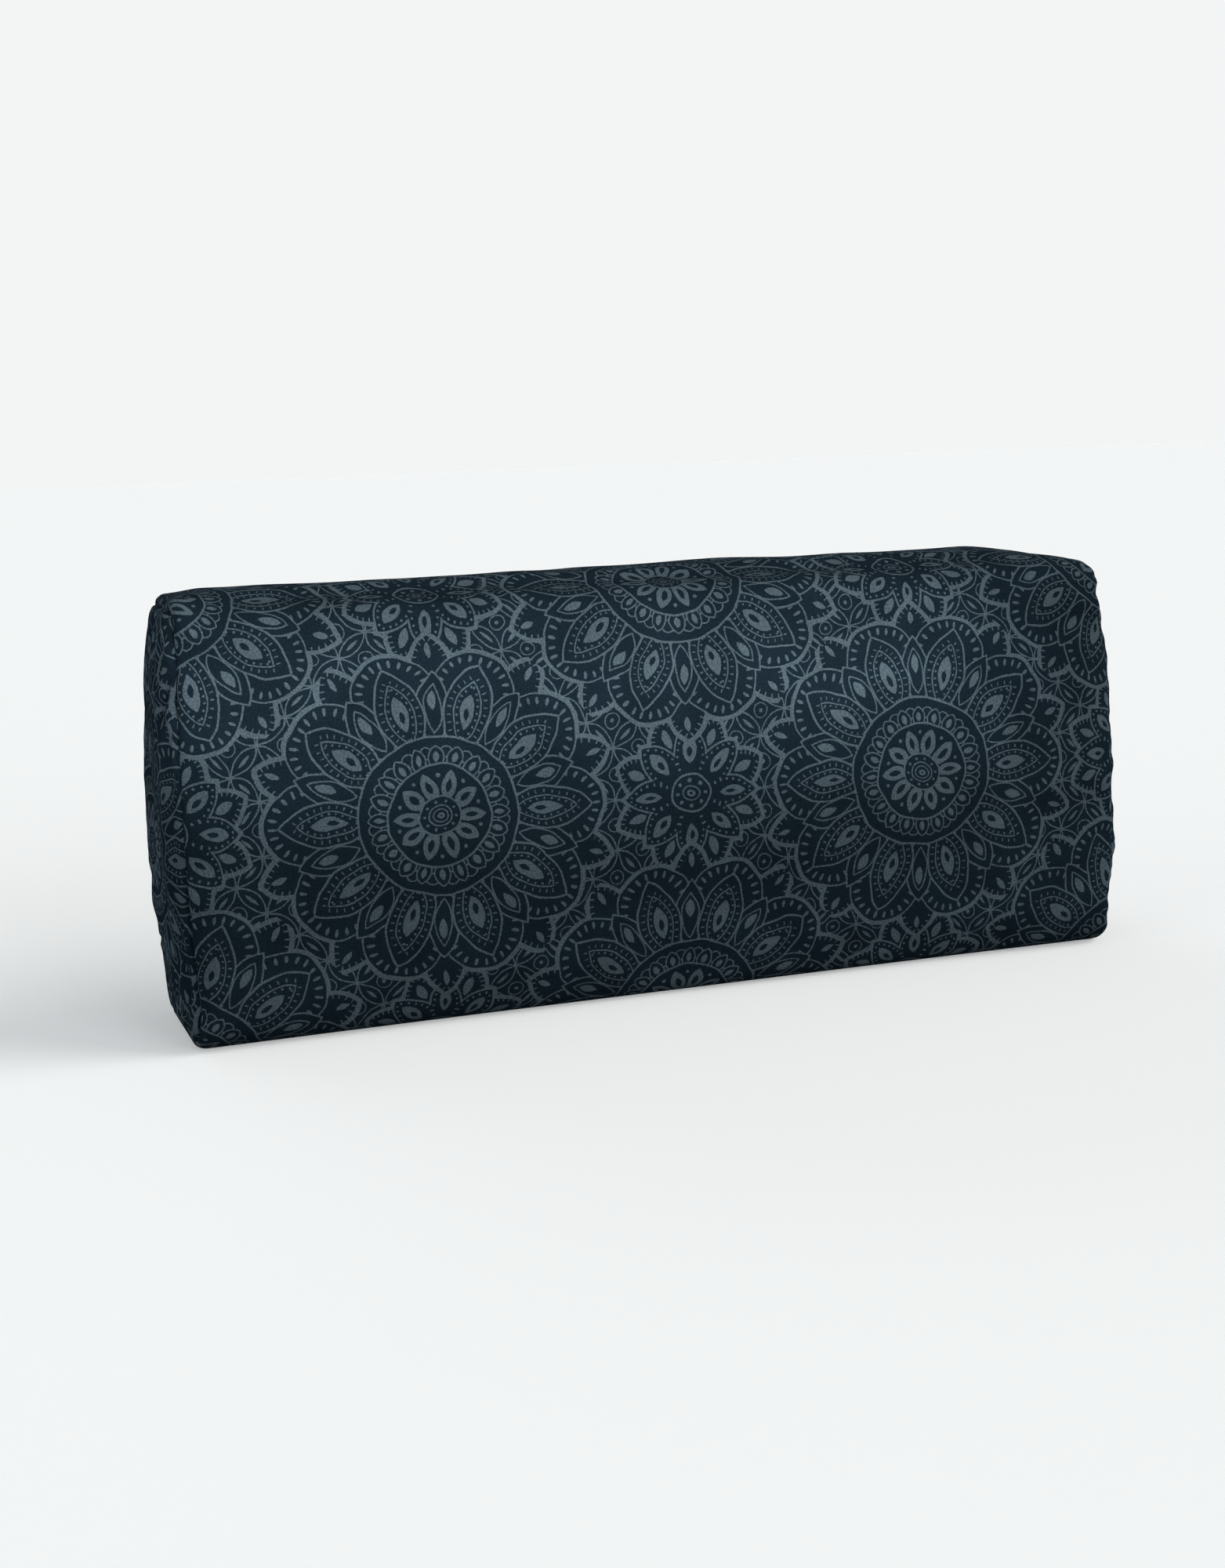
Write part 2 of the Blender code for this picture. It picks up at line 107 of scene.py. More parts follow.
def placed(name, data):
    """An object at the origin of the scene."""
    made = bpy.data.objects.new(name, data)
    bpy.context.scene.collection.objects.link(made)
    return made


print("navy in linear light", [round(part, 4) for part in linear("#111b22")])

# %% [markdown]
# ## Camera, floor and light
# The photograph looks slightly down on the bolster, from beyond its left end. A floor and a world of
# the same pale grey give the studio sweep. The lamps are suns, which have no falloff, so the floor
# keeps one tone. One from the right makes the shadow that falls to the left, and its wide angle is
# what softens it. The others fill the front, the left end and the back, and the last two cast no shadow
# of their own, so that the floor stays even before the bolster. A long narrow strip box stands before
# the front and is turned up a little, so that its beam lies as a soft bright band along the upper part
# of the front and passes clear of the floor.

# %% Camera
bpy.context.scene.view_settings.view_transform = "Standard"
YAW, PITCH, ROLL = radians(19.01), radians(8.65), radians(-2.22)
STANDPOINT, LENS = (-0.4957, -1.3619, 0.3533), 49.97

camera = placed("camera", bpy.data.cameras.new("camera"))
camera.data.lens = LENS
camera.data.clip_start = 0.01
aim = Euler((pi / 2 - PITCH, 0, -YAW)).to_matrix().to_4x4() @ Matrix.Rotation(ROLL, 4, "Z")
camera.matrix_world = Matrix.Translation(STANDPOINT) @ aim
bpy.context.scene.camera = camera
print("camera at", [round(part, 3) for part in camera.location])

# %% Floor and backdrop
SWEEP, FLOOR_BOUNCE, ROOM, FLOOR_PAINT, FLOOR_GLOW = "#f3f5f5", "#3c3e40", 0.30, 0.715, 0.295

bm = bmesh.new()
bmesh.ops.create_grid(bm, x_segments=1, y_segments=1, size=60)
floor = placed("floor", as_mesh("floor", bm))
painted, tree, shader = new_material("matt_painted_sweep")
rays = tree.nodes.new("ShaderNodeLightPath").outputs
seen = add(tree, MATH, rays["Is Camera Ray"], rays["Is Glossy Ray"], operation="MAXIMUM")
pale = [part * FLOOR_PAINT for part in linear(SWEEP)[:3]]
fill(shader, {
    "Base Color": add(tree, MIX, seen, linear(FLOOR_BOUNCE), (*pale, 1.0), data_type="RGBA"),
    "Emission Color": linear(SWEEP),
    "Emission Strength": add(tree, MATH, seen, FLOOR_GLOW, operation="MULTIPLY"),
    "Roughness": 1.0,
    "Specular IOR Level": 0.0,
})
floor.data.materials.append(painted)

world = bpy.data.worlds.new("studio")
world.use_nodes = True
bpy.context.scene.world = world
tree = world.node_tree
tree.nodes.clear()
rays = tree.nodes.new("ShaderNodeLightPath").outputs
seen = add(tree, MATH, rays["Is Camera Ray"], rays["Is Glossy Ray"], operation="MAXIMUM")
seen = add(tree, MATH, seen, rays["Is Transmission Ray"], operation="MAXIMUM")
room = add(tree, "ShaderNodeBackground", linear("#f4f7fa"), ROOM)
sweep = add(tree, "ShaderNodeBackground", linear(SWEEP), 1.0)
both = add(tree, "ShaderNodeMixShader", seen, room, sweep)
add(tree, "ShaderNodeOutputWorld", both)
print("the room lights with a strength of", ROOM)

# %% Suns
for word, towards, strength, spread, tone, shadow in (
    ("window_right", (-1.0, 0.42, -0.58), 2.8, 45, "#fffdf8", True),
    ("softbox_front", (-0.33, 0.91, -0.25), 1.5, 30, "#fbfdff", True),
    ("softbox_left", (0.90, 0.30, -0.06), 1.5, 50, "#fbfdff", False),
    ("softbox_behind", (0.30, -0.95, -0.08), 2.6, 60, "#f6faff", False),
):
    sun = placed(word, bpy.data.lights.new(word, "SUN"))
    sun.data.energy = strength
    sun.data.angle = radians(spread)
    sun.data.color = linear(tone)[:3]
    sun.data.use_shadow = shadow
    sun.rotation_euler = Vector(towards).to_track_quat("-Z", "Y").to_euler()
    print(word, strength)

# %% Strip box
STRIP_AT, STRIP_AIM = Vector((-0.06, -0.62, 0.160)), Vector((-0.09, -0.075, 0.217))
STRIP_WATTS, STRIP_LENGTH, STRIP_WIDTH = 0.33, 0.62, 0.05

strip = placed("strip_box", bpy.data.lights.new("strip_box", "AREA"))
strip.data.shape = "RECTANGLE"
strip.data.size, strip.data.size_y = STRIP_LENGTH, STRIP_WIDTH
strip.data.spread = radians(23)
strip.data.energy = STRIP_WATTS
strip.data.color = linear("#fbfdff")[:3]
strip.location = STRIP_AT
strip.rotation_euler = (STRIP_AIM - STRIP_AT).to_track_quat("-Z", "Y").to_euler()
strip.visible_camera = False
print("strip box", STRIP_WATTS, "W")

# %% [markdown]
# ## The print
# Microsuede is a knit of very fine polyester fibres, brushed to a short nap and printed with a dark
# ground. Here the ornament is drawn with nodes, as a printer would lay it: flat shapes over each
# other, each with its own line work. A flower is folded like a paper star, so that one petal is drawn
# and all its copies come with it. The sizes are millimetres on the cloth, lines about 1.3 mm wide.

# %% Marks of ink
INK = 1.3


def nearest_flower(tree, cloth, repeat, shift):
    """Millimetres from the nearest centre of a half-drop repeat, as radius and angle."""
    half = (repeat[0] / 2, repeat[1] / 2, 1.0)
    back = (-half[0], -half[1], -1.0)
    moved = add(tree, VECTOR, cloth, shift, operation="ADD")
    dropped = add(tree, VECTOR, moved, (half[0], half[1], 0.0), operation="ADD")
    first = add(tree, VECTOR, moved, half, back, operation="WRAP")
    second = add(tree, VECTOR, dropped, half, back, operation="WRAP")
    reach_first = add(tree, VECTOR, first, operation="LENGTH")
    reach_second = add(tree, VECTOR, second, operation="LENGTH")
    far = add(tree, MATH, reach_first, reach_second, operation="GREATER_THAN")
    near = add(tree, MIX, far, first, second, data_type="VECTOR")
    radius = add(tree, MATH, reach_first, reach_second, operation="MINIMUM")
    split = tree.nodes.new("ShaderNodeSeparateXYZ")
    tree.links.new(near, split.inputs[0])
    angle = add(tree, MATH, split.outputs[1], split.outputs[0], operation="ARCTAN2")
    return radius, angle


def fold(tree, polar, count, turned=False):
    """Folds a flower onto half of one petal: the way out along its middle, and the way across."""
    radius, angle = polar
    if turned:
        angle = add(tree, MATH, angle, pi / count, operation="ADD")
    folded = add(tree, MATH, angle, pi / count, operation="PINGPONG")
    along = add(tree, MATH, radius, add(tree, MATH, folded, operation="COSINE"), operation="MULTIPLY")
    across = add(tree, MATH, radius, add(tree, MATH, folded, operation="SINE"), operation="MULTIPLY")
    return along, across


def petal(tree, half, root, tip, width):
    """A pointed petal between two arcs: the way in or out of its edge, and the way along it."""
    length = (tip - root) / 2
    radius = (length**2 + width**2) / (2 * width)
    along = add(tree, MATH, half[0], (root + tip) / 2, operation="SUBTRACT")
    across = add(tree, MATH, half[1], radius - width, operation="ADD")
    reach = add(tree, VECTOR, add(tree, "ShaderNodeCombineXYZ", along, across), operation="LENGTH")
    edge = add(tree, MATH, reach, radius, operation="SUBTRACT")
    turn = add(tree, MATH, along, across, operation="ARCTAN2")
    return edge, add(tree, MATH, turn, radius, operation="MULTIPLY")


def disc(tree, half, centre, size):
    """A round spot on a petal's middle line: the way in or out of its edge, and the way round it."""
    along = add(tree, MATH, half[0], centre, operation="SUBTRACT")
    reach = add(tree, VECTOR, add(tree, "ShaderNodeCombineXYZ", along, half[1]), operation="LENGTH")
    edge = add(tree, MATH, reach, size, operation="SUBTRACT")
    turn = add(tree, MATH, half[1], along, operation="ARCTAN2")
    return edge, add(tree, MATH, turn, size, operation="MULTIPLY")


def line(tree, edge, inset=0.0, ink=INK):
    """A line of ink that keeps a set way inside an edge."""
    return add(tree, MATH, edge, -inset - ink / 2, ink / 2, operation="COMPARE")


def filled(tree, edge, inset=0.0):
    """Ink all over the inside of an edge."""
    return add(tree, MATH, edge, -inset, operation="LESS_THAN")


def beads(tree, edge, way, inset, pitch, size, stretch=1.0):
    """A row of dots that keeps a set way inside an edge, drawn out towards it if they are stretched."""
    step = add(tree, MATH, way, pitch / 2, operation="PINGPONG")
    depth = add(tree, MATH, edge, 1 / stretch, inset / stretch, operation="MULTIPLY_ADD")
    reach = add(tree, VECTOR, add(tree, "ShaderNodeCombineXYZ", step, depth), operation="LENGTH")
    return add(tree, MATH, reach, size, operation="LESS_THAN")


def ticks(tree, edge, way, inset, length, pitch, ink):
    """Short strokes that stand square to an edge."""
    step = add(tree, MATH, way, pitch / 2, operation="PINGPONG")
    stroke = add(tree, MATH, step, ink / 2, operation="LESS_THAN")
    band = add(tree, MATH, edge, -inset - length / 2, length / 2, operation="COMPARE")
    return add(tree, MATH, stroke, band, operation="MULTIPLY")


def lay(tree, under, edge, *drawn):
    """Lays a dark shape over what is under it, and draws on it in ink."""
    ink = drawn[0]
    for mark in drawn[1:]:
        ink = add(tree, MATH, ink, mark, operation="MAXIMUM")
    outside = add(tree, MATH, edge, 0.0, operation="GREATER_THAN")
    return add(tree, MATH, under, outside, ink, operation="MULTIPLY_ADD")


def halo(tree, under, edge, width):
    """A plain band of ink outside an edge."""
    return add(tree, MATH, under, filled(tree, edge, -width), operation="MAXIMUM")


def rings(tree, polar, under, radii):
    """Plain circles of ink round a flower's centre."""
    for radius, ink in radii:
        circle = add(tree, MATH, polar[0], radius, ink / 2, operation="COMPARE")
        under = add(tree, MATH, under, circle, operation="MAXIMUM")
    return under


# %% The ornament
REPEAT = (330.0, 300.0)
COIN = 17.0


def coins(tree, cloth):
    """Interlocking circles, which cut the ground into leaves and hollow diamonds."""
    edges = []
    for shift in (0.0, COIN):
        moved = add(tree, VECTOR, cloth, (shift, shift, 0.0), operation="ADD")
        own = add(tree, VECTOR, moved, (COIN, COIN, 1.0), (-COIN, -COIN, -1.0), operation="WRAP")
        reach = add(tree, VECTOR, own, operation="LENGTH")
        edges.append(add(tree, MATH, reach, COIN, operation="SUBTRACT"))
    leaf = add(tree, MATH, edges[0], edges[1], operation="MAXIMUM")
    hollow = add(tree, MATH, edges[0], edges[1], operation="MINIMUM")
    ground = line(tree, leaf, 0.0, 0.9)
    core = filled(tree, leaf, 3.9)
    seed = add(tree, MATH, hollow, -COIN + 1.2, operation="LESS_THAN")
    ring = add(tree, MATH, hollow, -COIN + 4.6, 0.35, operation="COMPARE")
    for mark in (core, seed, ring):
        ground = add(tree, MATH, ground, mark, operation="MAXIMUM")
    return ground


def hollowed(tree, outer, inner):
    """Ink between two edges."""
    outside = add(tree, MATH, inner, 0.0, operation="GREATER_THAN")
    return add(tree, MATH, filled(tree, outer), outside, operation="MULTIPLY")


def great_flower(tree, polar, under):
    """Ten pointed petals before ten round ones, round a disc with a frill and a star."""
    n = 10
    straight, between = fold(tree, polar, n), fold(tree, polar, n, turned=True)
    fine, fine_between = fold(tree, polar, 2 * n), fold(tree, polar, 2 * n, turned=True)

    leaf, way = petal(tree, between, 70, 116, 13.5)
    scallop, turn = disc(tree, straight, 80, 26.5)
    under = halo(tree, halo(tree, under, leaf, 1.7), scallop, 1.7)
    core, _ = petal(tree, between, 100, 110, 1.9)
    fringe = ticks(tree, leaf, way, 1.2, 2.6, 4.8, 0.9)
    under = lay(tree, under, leaf, line(tree, leaf), fringe, filled(tree, core))

    drops = beads(tree, scallop, turn, 5.2, 7.6, 1.25, 2.0)
    under = lay(tree, under, scallop, line(tree, scallop, 0, 1.1), drops)

    edge, _ = petal(tree, between, 44, 92, 10.5)
    inner, _ = petal(tree, between, 52, 84, 6.0)
    core, _ = petal(tree, between, 66, 79, 2.8)
    under = lay(tree, under, edge, line(tree, edge, 0, 1.1), line(tree, inner, 0, 0.9), filled(tree, core))

    edge, _ = petal(tree, straight, 38, 99, 15.0)
    inner, inner_way = petal(tree, straight, 47, 88, 9.0)
    drop, _ = petal(tree, straight, 56, 79, 4.8)
    eye, _ = petal(tree, straight, 61, 69, 1.8)
    fringe = ticks(tree, inner, inner_way, -3.4, 2.2, 4.4, 0.8)
    dots = beads(tree, inner, inner_way, 2.3, 4.8, 0.75)
    rib = line(tree, inner, 0.0, 0.9)
    under = lay(tree, under, edge, line(tree, edge), fringe, rib, dots, hollowed(tree, drop, eye))

    edge = add(tree, MATH, polar[0], 51.0, operation="SUBTRACT")
    frill, _ = petal(tree, fine, 29, 45.0, 5.2)
    frill_core, _ = petal(tree, fine, 34, 41.0, 1.9)
    lobe, _ = disc(tree, fine_between, 40.5, 4.2)
    scallops = lay(tree, line(tree, edge), lobe, line(tree, lobe, 0, 0.9))
    under = lay(tree, under, edge, scallops)
    under = lay(tree, under, frill, line(tree, frill, 0, 0.9), filled(tree, frill_core))
    edge = add(tree, MATH, polar[0], 33.5, operation="SUBTRACT")
    star, _ = petal(tree, straight, 10.0, 29.5, 5.0)
    eye, _ = petal(tree, straight, 15.5, 24.5, 2.0)
    dot, _ = disc(tree, between, 26.5, 1.2)
    under = lay(tree, under, edge, line(tree, edge), hollowed(tree, star, eye), filled(tree, dot))
    edge = add(tree, MATH, polar[0], 13.5, operation="SUBTRACT")
    seed, _ = disc(tree, straight, 10.0, 0.9)
    under = lay(tree, under, edge, line(tree, edge, 0, 1.0), filled(tree, seed))
    return rings(tree, polar, under, [(7.4, 0.9), (4.8, 0.8), (1.6, 1.6)])


def small_flower(tree, polar, under):
    """Eight beaded petals before eight fringed ones."""
    straight, between = fold(tree, polar, 8), fold(tree, polar, 8, turned=True)
    edge, way = petal(tree, between, 10, 54, 13.5)
    front, front_way = petal(tree, straight, 4, 46, 11.5)
    under = halo(tree, halo(tree, under, edge, 1.5), front, 1.5)
    core, _ = petal(tree, between, 33, 46, 3.0)
    fringe = ticks(tree, edge, way, 1.2, 2.6, 3.8, 0.9)
    under = lay(tree, under, edge, line(tree, edge), fringe, filled(tree, core))
    core, _ = petal(tree, straight, 20, 38, 4.2)
    eye, _ = petal(tree, straight, 24, 31, 1.6)
    dots = beads(tree, front, front_way, 3.2, 5.0, 0.85)
    under = lay(tree, under, front, line(tree, front), dots, hollowed(tree, core, eye))
    edge = add(tree, MATH, polar[0], 14.0, operation="SUBTRACT")
    seed, _ = disc(tree, straight, 9.6, 1.3)
    under = lay(tree, under, edge, line(tree, edge), filled(tree, seed))
    return rings(tree, polar, under, [(5.6, 0.9), (2.0, 1.5)])


def ornament(tree, cloth):
    """The whole print, 1 in ink and 0 on the navy ground. A hand never draws quite true."""
    wander = add(tree, "ShaderNodeTexNoise", cloth, 0.045, 1.0, 0.5, noise_dimensions="2D")
    drift = add(tree, VECTOR, wander.node.outputs["Color"], (0.5, 0.5, 0.5), operation="SUBTRACT")
    cloth = add(tree, VECTOR, drift, (4.0, 4.0, 0.0), cloth, operation="MULTIPLY_ADD")
    great = nearest_flower(tree, cloth, REPEAT, (165.0, 0.0, 0.0))
    small = nearest_flower(tree, cloth, REPEAT, (0.0, 0.0, 0.0))
    return great_flower(tree, great, small_flower(tree, small, coins(tree, cloth)))


# %% [markdown]
# ## Brushed microsuede
# The nap stands about half a millimetre high and parts into tiny tufts, so the cloth looks grainy
# close by and soft from afar: no gloss, and only a faint bloom where it is seen at a low angle, which
# is what sheen gives. Where hands have stroked it, the nap leans another way. The lighter and darker
# patches that this gives under light are painted into the colour as painted sheen and shade.
# The print soaks in unevenly, so its tone varies with the tufts too, and its binder leaves the
# printed marks a touch smoother than the bare nap. Real tufts are finer than a pixel of the picture, so
# they are drawn 1.3 mm wide, as coarse as they need to be to show.

# %% Suede material
NAVY, SLATE = "#111b22", "#3d484e"
TUFT_MM, NAP_SHADE_PATCH_MM = 1.3, 42.0
TUFT_TONES, PAINTED_NAP_SHADE_TONES = (0.60, 1.42), (0.88, 1.12)
CLOTH_MM = (1000.0, 1000.0, 0.0)

suede, tree, shader = new_material("brushed_printed_microsuede")
cloth_mm = add(tree, VECTOR, add(tree, "ShaderNodeUVMap", uv_map="cloth"), CLOTH_MM, operation="MULTIPLY")
tufts = add(tree, "ShaderNodeTexNoise", cloth_mm, 1 / TUFT_MM, 4.0, 0.75, noise_dimensions="2D")
nap_shade_patches = add(tree, "ShaderNodeTexNoise", cloth_mm, 1 / NAP_SHADE_PATCH_MM, 3.0, 0.55, noise_dimensions="2D")
wander = add(tree, "ShaderNodeTexNoise", cloth_mm, 0.9, 1.0, 0.5, noise_dimensions="2D")
rough_edge = add(tree, VECTOR, wander.node.outputs["Color"], (0.5, 0.5, 0.5), operation="SUBTRACT")
drawn_mm = add(tree, VECTOR, rough_edge, (0.7, 0.7, 0.0), cloth_mm, operation="MULTIPLY_ADD")
ink = ornament(tree, drawn_mm)
soaked = add(tree, MATH, tufts, 0.5, 0.72, operation="MULTIPLY_ADD")
ink = add(tree, MATH, ink, soaked, operation="MULTIPLY")
colour = add(tree, MIX, ink, linear(NAVY), linear(SLATE), data_type="RGBA")
speckle = add(tree, "ShaderNodeMapRange", tufts, 0.30, 0.70, *TUFT_TONES)
# Lighter and darker patches of painted sheen and shade, for nap that leans another way where it was stroked.
painted_nap_shade = add(tree, "ShaderNodeMapRange", nap_shade_patches, 0.30, 0.70, *PAINTED_NAP_SHADE_TONES)
tone = add(tree, MATH, speckle, painted_nap_shade, operation="MULTIPLY")
fill(shader, {
    "Base Color": add(tree, VECTOR, colour, tone, operation="SCALE"),
    "Normal": add(tree, "ShaderNodeBump", 0.55, 0.0004, None, tufts),
    "Roughness": add(tree, "ShaderNodeMapRange", ink, 0.0, 1.0, 0.92, 0.78),
    "Specular IOR Level": 0.0,
    "Sheen Weight": 0.01,
    "Sheen Roughness": 0.45,
    "Sheen Tint": linear("#9fb4c8"),
})
print("nodes in the suede", len(tree.nodes))

# %% [markdown]
# ## How the cover is cut and sewn
# The real sleeve is one flat piece of printed suede. It starts at the zip, low on the back, goes
# down and under, up the front, over the top and back down to the zip. The same path is followed here:
# a function gives, for each place on the flat cloth, where that place lies on the stuffed bolster.
# So the print runs round the long edges without a break, as it does on the real cover. The two ends
# aren't alike: for each of them ENDS says how far its seam stands out at the foot, at the top and in the
# bow between (square and lean shape that bow), how far its back corner is drawn in, how far the middle
# of its panel stands out, and how high its top corners stand and how suddenly they start.

# %% Sizes of the stuffed bolster, in metres, as in the solids
BODY_HEIGHT, HALF_DEPTH, CORNER = 0.275, 0.065, 0.020
CORE_Y, CORE_TOP = HALF_DEPTH - CORNER, BODY_HEIGHT - CORNER
# Towards each end seam the cloth turns in on an arc of this radius and angle.
TURN, TURN_ANGLE = 0.010, radians(50)
TURN_START = 0.320 - TURN * sin(TURN_ANGLE)
# How far each face swells at mid length, and how far the long edges are drawn in there.
FRONT_CROWN, TOP_CROWN, BACK_CROWN, END_CROWN, EDGE_DRAW = 0.012, 0.0035, 0.010, 0.0035, 0.002
# The slot for the zip, and the height up to which the back stays flat for it.
ZIP_HEIGHT, SLOT_HALF, SLOT_WIDTH, FLAT_TOP = 0.052, 0.252, 0.014, 0.0734
CLOTH, SEAM_ALLOWANCE = 0.0012, 0.007
ENDS = {
    -1: dict(
        foot=0.0015, top=0.0015, bow=0.0038, square=2.0, lean=0.0,
        drawn=0.0050, middle=0.0015, ear=0.0030, onset=6,
    ),
    1: dict(
        foot=-0.002, top=-0.008, bow=0.0092, square=2.5, lean=0.20,
        drawn=0.0, middle=0.0025, ear=-0.0050, onset=24,
    ),
}

HALF_CUT = TURN_START + TURN * TURN_ANGLE
GIRTH = 4 * CORE_Y + 2 * (CORE_TOP - CORNER) + 2 * pi * CORNER
FRONT_MIDDLE = ZIP_HEIGHT - CORNER + pi * CORNER + 2 * CORE_Y + (CORE_TOP - CORNER) / 2
print(f"the sleeve is cut {2000 * HALF_CUT:.0f} x {1000 * GIRTH:.0f} mm, plus seam allowances")


# %% From the flat cloth to the stuffed form
def round_the_core(way):
    """The core's point (y, z) under a place this far round from the zip, and which way is out there."""
    way %= GIRTH
    at, angle = Vector((CORE_Y, ZIP_HEIGHT)), 0.0
    runs = (ZIP_HEIGHT - CORNER, 2 * CORE_Y, CORE_TOP - CORNER, 2 * CORE_Y, CORE_TOP - ZIP_HEIGHT)
    bends = ((CORE_Y, CORNER), (-CORE_Y, CORNER), (-CORE_Y, CORE_TOP), (CORE_Y, CORE_TOP), None)
    for run, bend in zip(runs, bends):
        if way <= run or bend is None:
            return at + way * Vector((sin(angle), -cos(angle))), angle
        way -= run
        at = Vector(bend)
        if way <= CORNER * pi / 2:
            return at, angle - way / CORNER
        way -= CORNER * pi / 2
        angle -= pi / 2


def swell(share):
    """Crown across a face, from 0 at one edge through 1 to 0 at the other."""
    return sin(pi * min(max(share, 0.0), 1.0)) ** 1.5


def crown(core, angle):
    """How far the filling pushes a face out at mid length."""
    y, z = core
    if abs(angle + pi) < 1e-6:
        return FRONT_CROWN * swell((z - CORNER) / (CORE_TOP - CORNER))
    if abs(angle + 3 * pi / 2) < 1e-6:
        return TOP_CROWN * swell((CORE_Y - y) / (2 * CORE_Y))
    if abs(angle) < 1e-6 or abs(angle + 2 * pi) < 1e-6:
        return BACK_CROWN * swell((z - FLAT_TOP) / (CORE_TOP - FLAT_TOP))
    return 0.0


def standing_out(end, core, beside):
    """How far an end seam stands out at a height that runs from -1 at its foot to 1 at its top."""
    rear = max(core.x / CORE_Y, 0.0) * max(beside, 0.0) ** 2
    bow = end["bow"] * (1 - min(abs(beside), 1.0) ** end["square"]) * (1 - end["lean"] * beside)
    return end["foot"] + (end["top"] - end["foot"]) * (1 + beside) / 2 + bow - end["drawn"] * rear


def stuffed(along, way, fullness=1.0):
    """Where a place of the flat sleeve lies: along the bolster from its middle, and round from the zip."""
    core, angle = round_the_core(way)
    out = Vector((cos(angle), sin(angle)))
    turned = max(abs(along) - TURN_START, 0.0) / TURN
    x = min(abs(along), TURN_START) + TURN * sin(turned)
    level = (1 - min(x / TURN_START, 1.0) ** 4) ** 1.5
    beside = (core.y - BODY_HEIGHT / 2) / (CORE_TOP - BODY_HEIGHT / 2)
    end, near_end = ENDS[-1 if along < 0 else 1], min(x / TURN_START, 1.0)
    x += near_end**4 * standing_out(end, core, beside)
    reach = CORNER - TURN * (1 - cos(turned)) + fullness * crown(core, angle) * level
    y, z = core + out * reach
    y += EDGE_DRAW * level if core.x < 0 else 0.0
    z -= EDGE_DRAW * level if core.y > BODY_HEIGHT / 2 else 0.0
    z += end["ear"] * near_end ** end["onset"] * max(beside, 0.0) ** 4
    return Vector((x if along > 0 else -x, y, z))


print("middle of the front", [round(part, 4) for part in stuffed(0, FRONT_MIDDLE)])

# %% [markdown]
# ## Cutting the cloth
# A grid is the natural start for cloth, because its lines follow the warp and the weft. Its lines are
# spaced so that some fall on the edges of the zip slot. Each corner of the grid remembers its place on
# the flat cloth, how far it is from an end seam and which point of that seam it faces, because the
# gathers need that later. The end panels have as many steps round their rim as the sleeve has, and
# their first corner meets its tenth row.

# %% Grid lines of the sleeve
def evenly(low, high, steps):
    """Evenly spaced values from low up to the last one before high."""
    return [low + (high - low) * k / steps for k in range(steps)]


HALF_COLUMNS = evenly(HALF_CUT, TURN_START - 0.002, 4) + evenly(TURN_START - 0.002, SLOT_HALF, 9)
COLUMNS = [-along for along in HALF_COLUMNS] + evenly(-SLOT_HALF, SLOT_HALF, 70)
COLUMNS += [SLOT_HALF, *reversed(HALF_COLUMNS)]
FIRST_ROWS = [0.002, 0.0045, 0.007, 0.009]
ROWS = [0.0, *FIRST_ROWS, *evenly(0.0125, GIRTH - 0.0125, 116), GIRTH - 0.0125]
ROWS += [*(GIRTH - way for way in reversed(FIRST_ROWS)), GIRTH]
ACROSS, UPWARDS, FIRST_CORNER = 19, 44, 10
SLEEVE, PANEL = 0, {-1: 2, 1: 1}
PANEL_AT, CROWN_RAMP, CROWN_POWER, SMOOTHINGS = 0.322, 0.055, 2.2, 8
PANEL_PRINT = {-1: (0.150, -0.120), 1: (-0.150, -0.160)}
print(len(COLUMNS), "columns and", len(ROWS), "rows")


# %% Flat pieces laid on the form
def cloth_grid(across, upwards):
    """A flat grid, with layers for what its corners remember, and each corner's column and row."""
    bm = bmesh.new()
    for name in ("cloth", "OFBake"):
        bm.loops.layers.uv.new(name)
    for name in ("flat", "rim"):
        bm.verts.layers.float_vector.new(name)
    bm.verts.layers.float.new("away")
    bm.faces.layers.int.new("part")
    bmesh.ops.create_grid(bm, x_segments=across, y_segments=upwards, size=1)
    places = {v: (round((v.co.x + 1) / 2 * across), round((v.co.y + 1) / 2 * upwards)) for v in bm.verts}
    return bm, places


def marks(bm):
    """The layers that cloth_grid made."""
    vert, loop = bm.verts.layers, bm.loops.layers.uv
    return SimpleNamespace(
        flat=vert.float_vector["flat"], rim=vert.float_vector["rim"], away=vert.float["away"],
        cloth=loop["cloth"], baked=loop["OFBake"], part=bm.faces.layers.int["part"],
    )


def lay_print(bm, shift, low, high):
    """Gives each corner its place on the printed cloth, in metres, and its place on a baked picture."""
    on = marks(bm)
    for face in bm.faces:
        for loop in face.loops:
            place = loop.vert[on.flat].xy
            loop[on.cloth].uv = place + Vector(shift)
            loop[on.baked].uv = [(place[k] - low[k]) / (high[k] - low[k]) for k in (0, 1)]


def lay_sleeve(fullness):
    """The sleeve, laid round the stuffed form from zip to zip."""
    bm, places = cloth_grid(len(COLUMNS) - 1, len(ROWS) - 1)
    on = marks(bm)
    for v, (column, row) in places.items():
        along, way = COLUMNS[column], ROWS[row]
        v.co = stuffed(along, way, fullness)
        v[on.flat] = (along, way, 0)
        v[on.rim] = stuffed(HALF_CUT if along > 0 else -HALF_CUT, way)
        v[on.away] = HALF_CUT - abs(along)
    wide = HALF_CUT + SEAM_ALLOWANCE
    lay_print(bm, (0, -FRONT_MIDDLE), (-wide, -0.001), (wide, GIRTH + 0.001))
    return bm


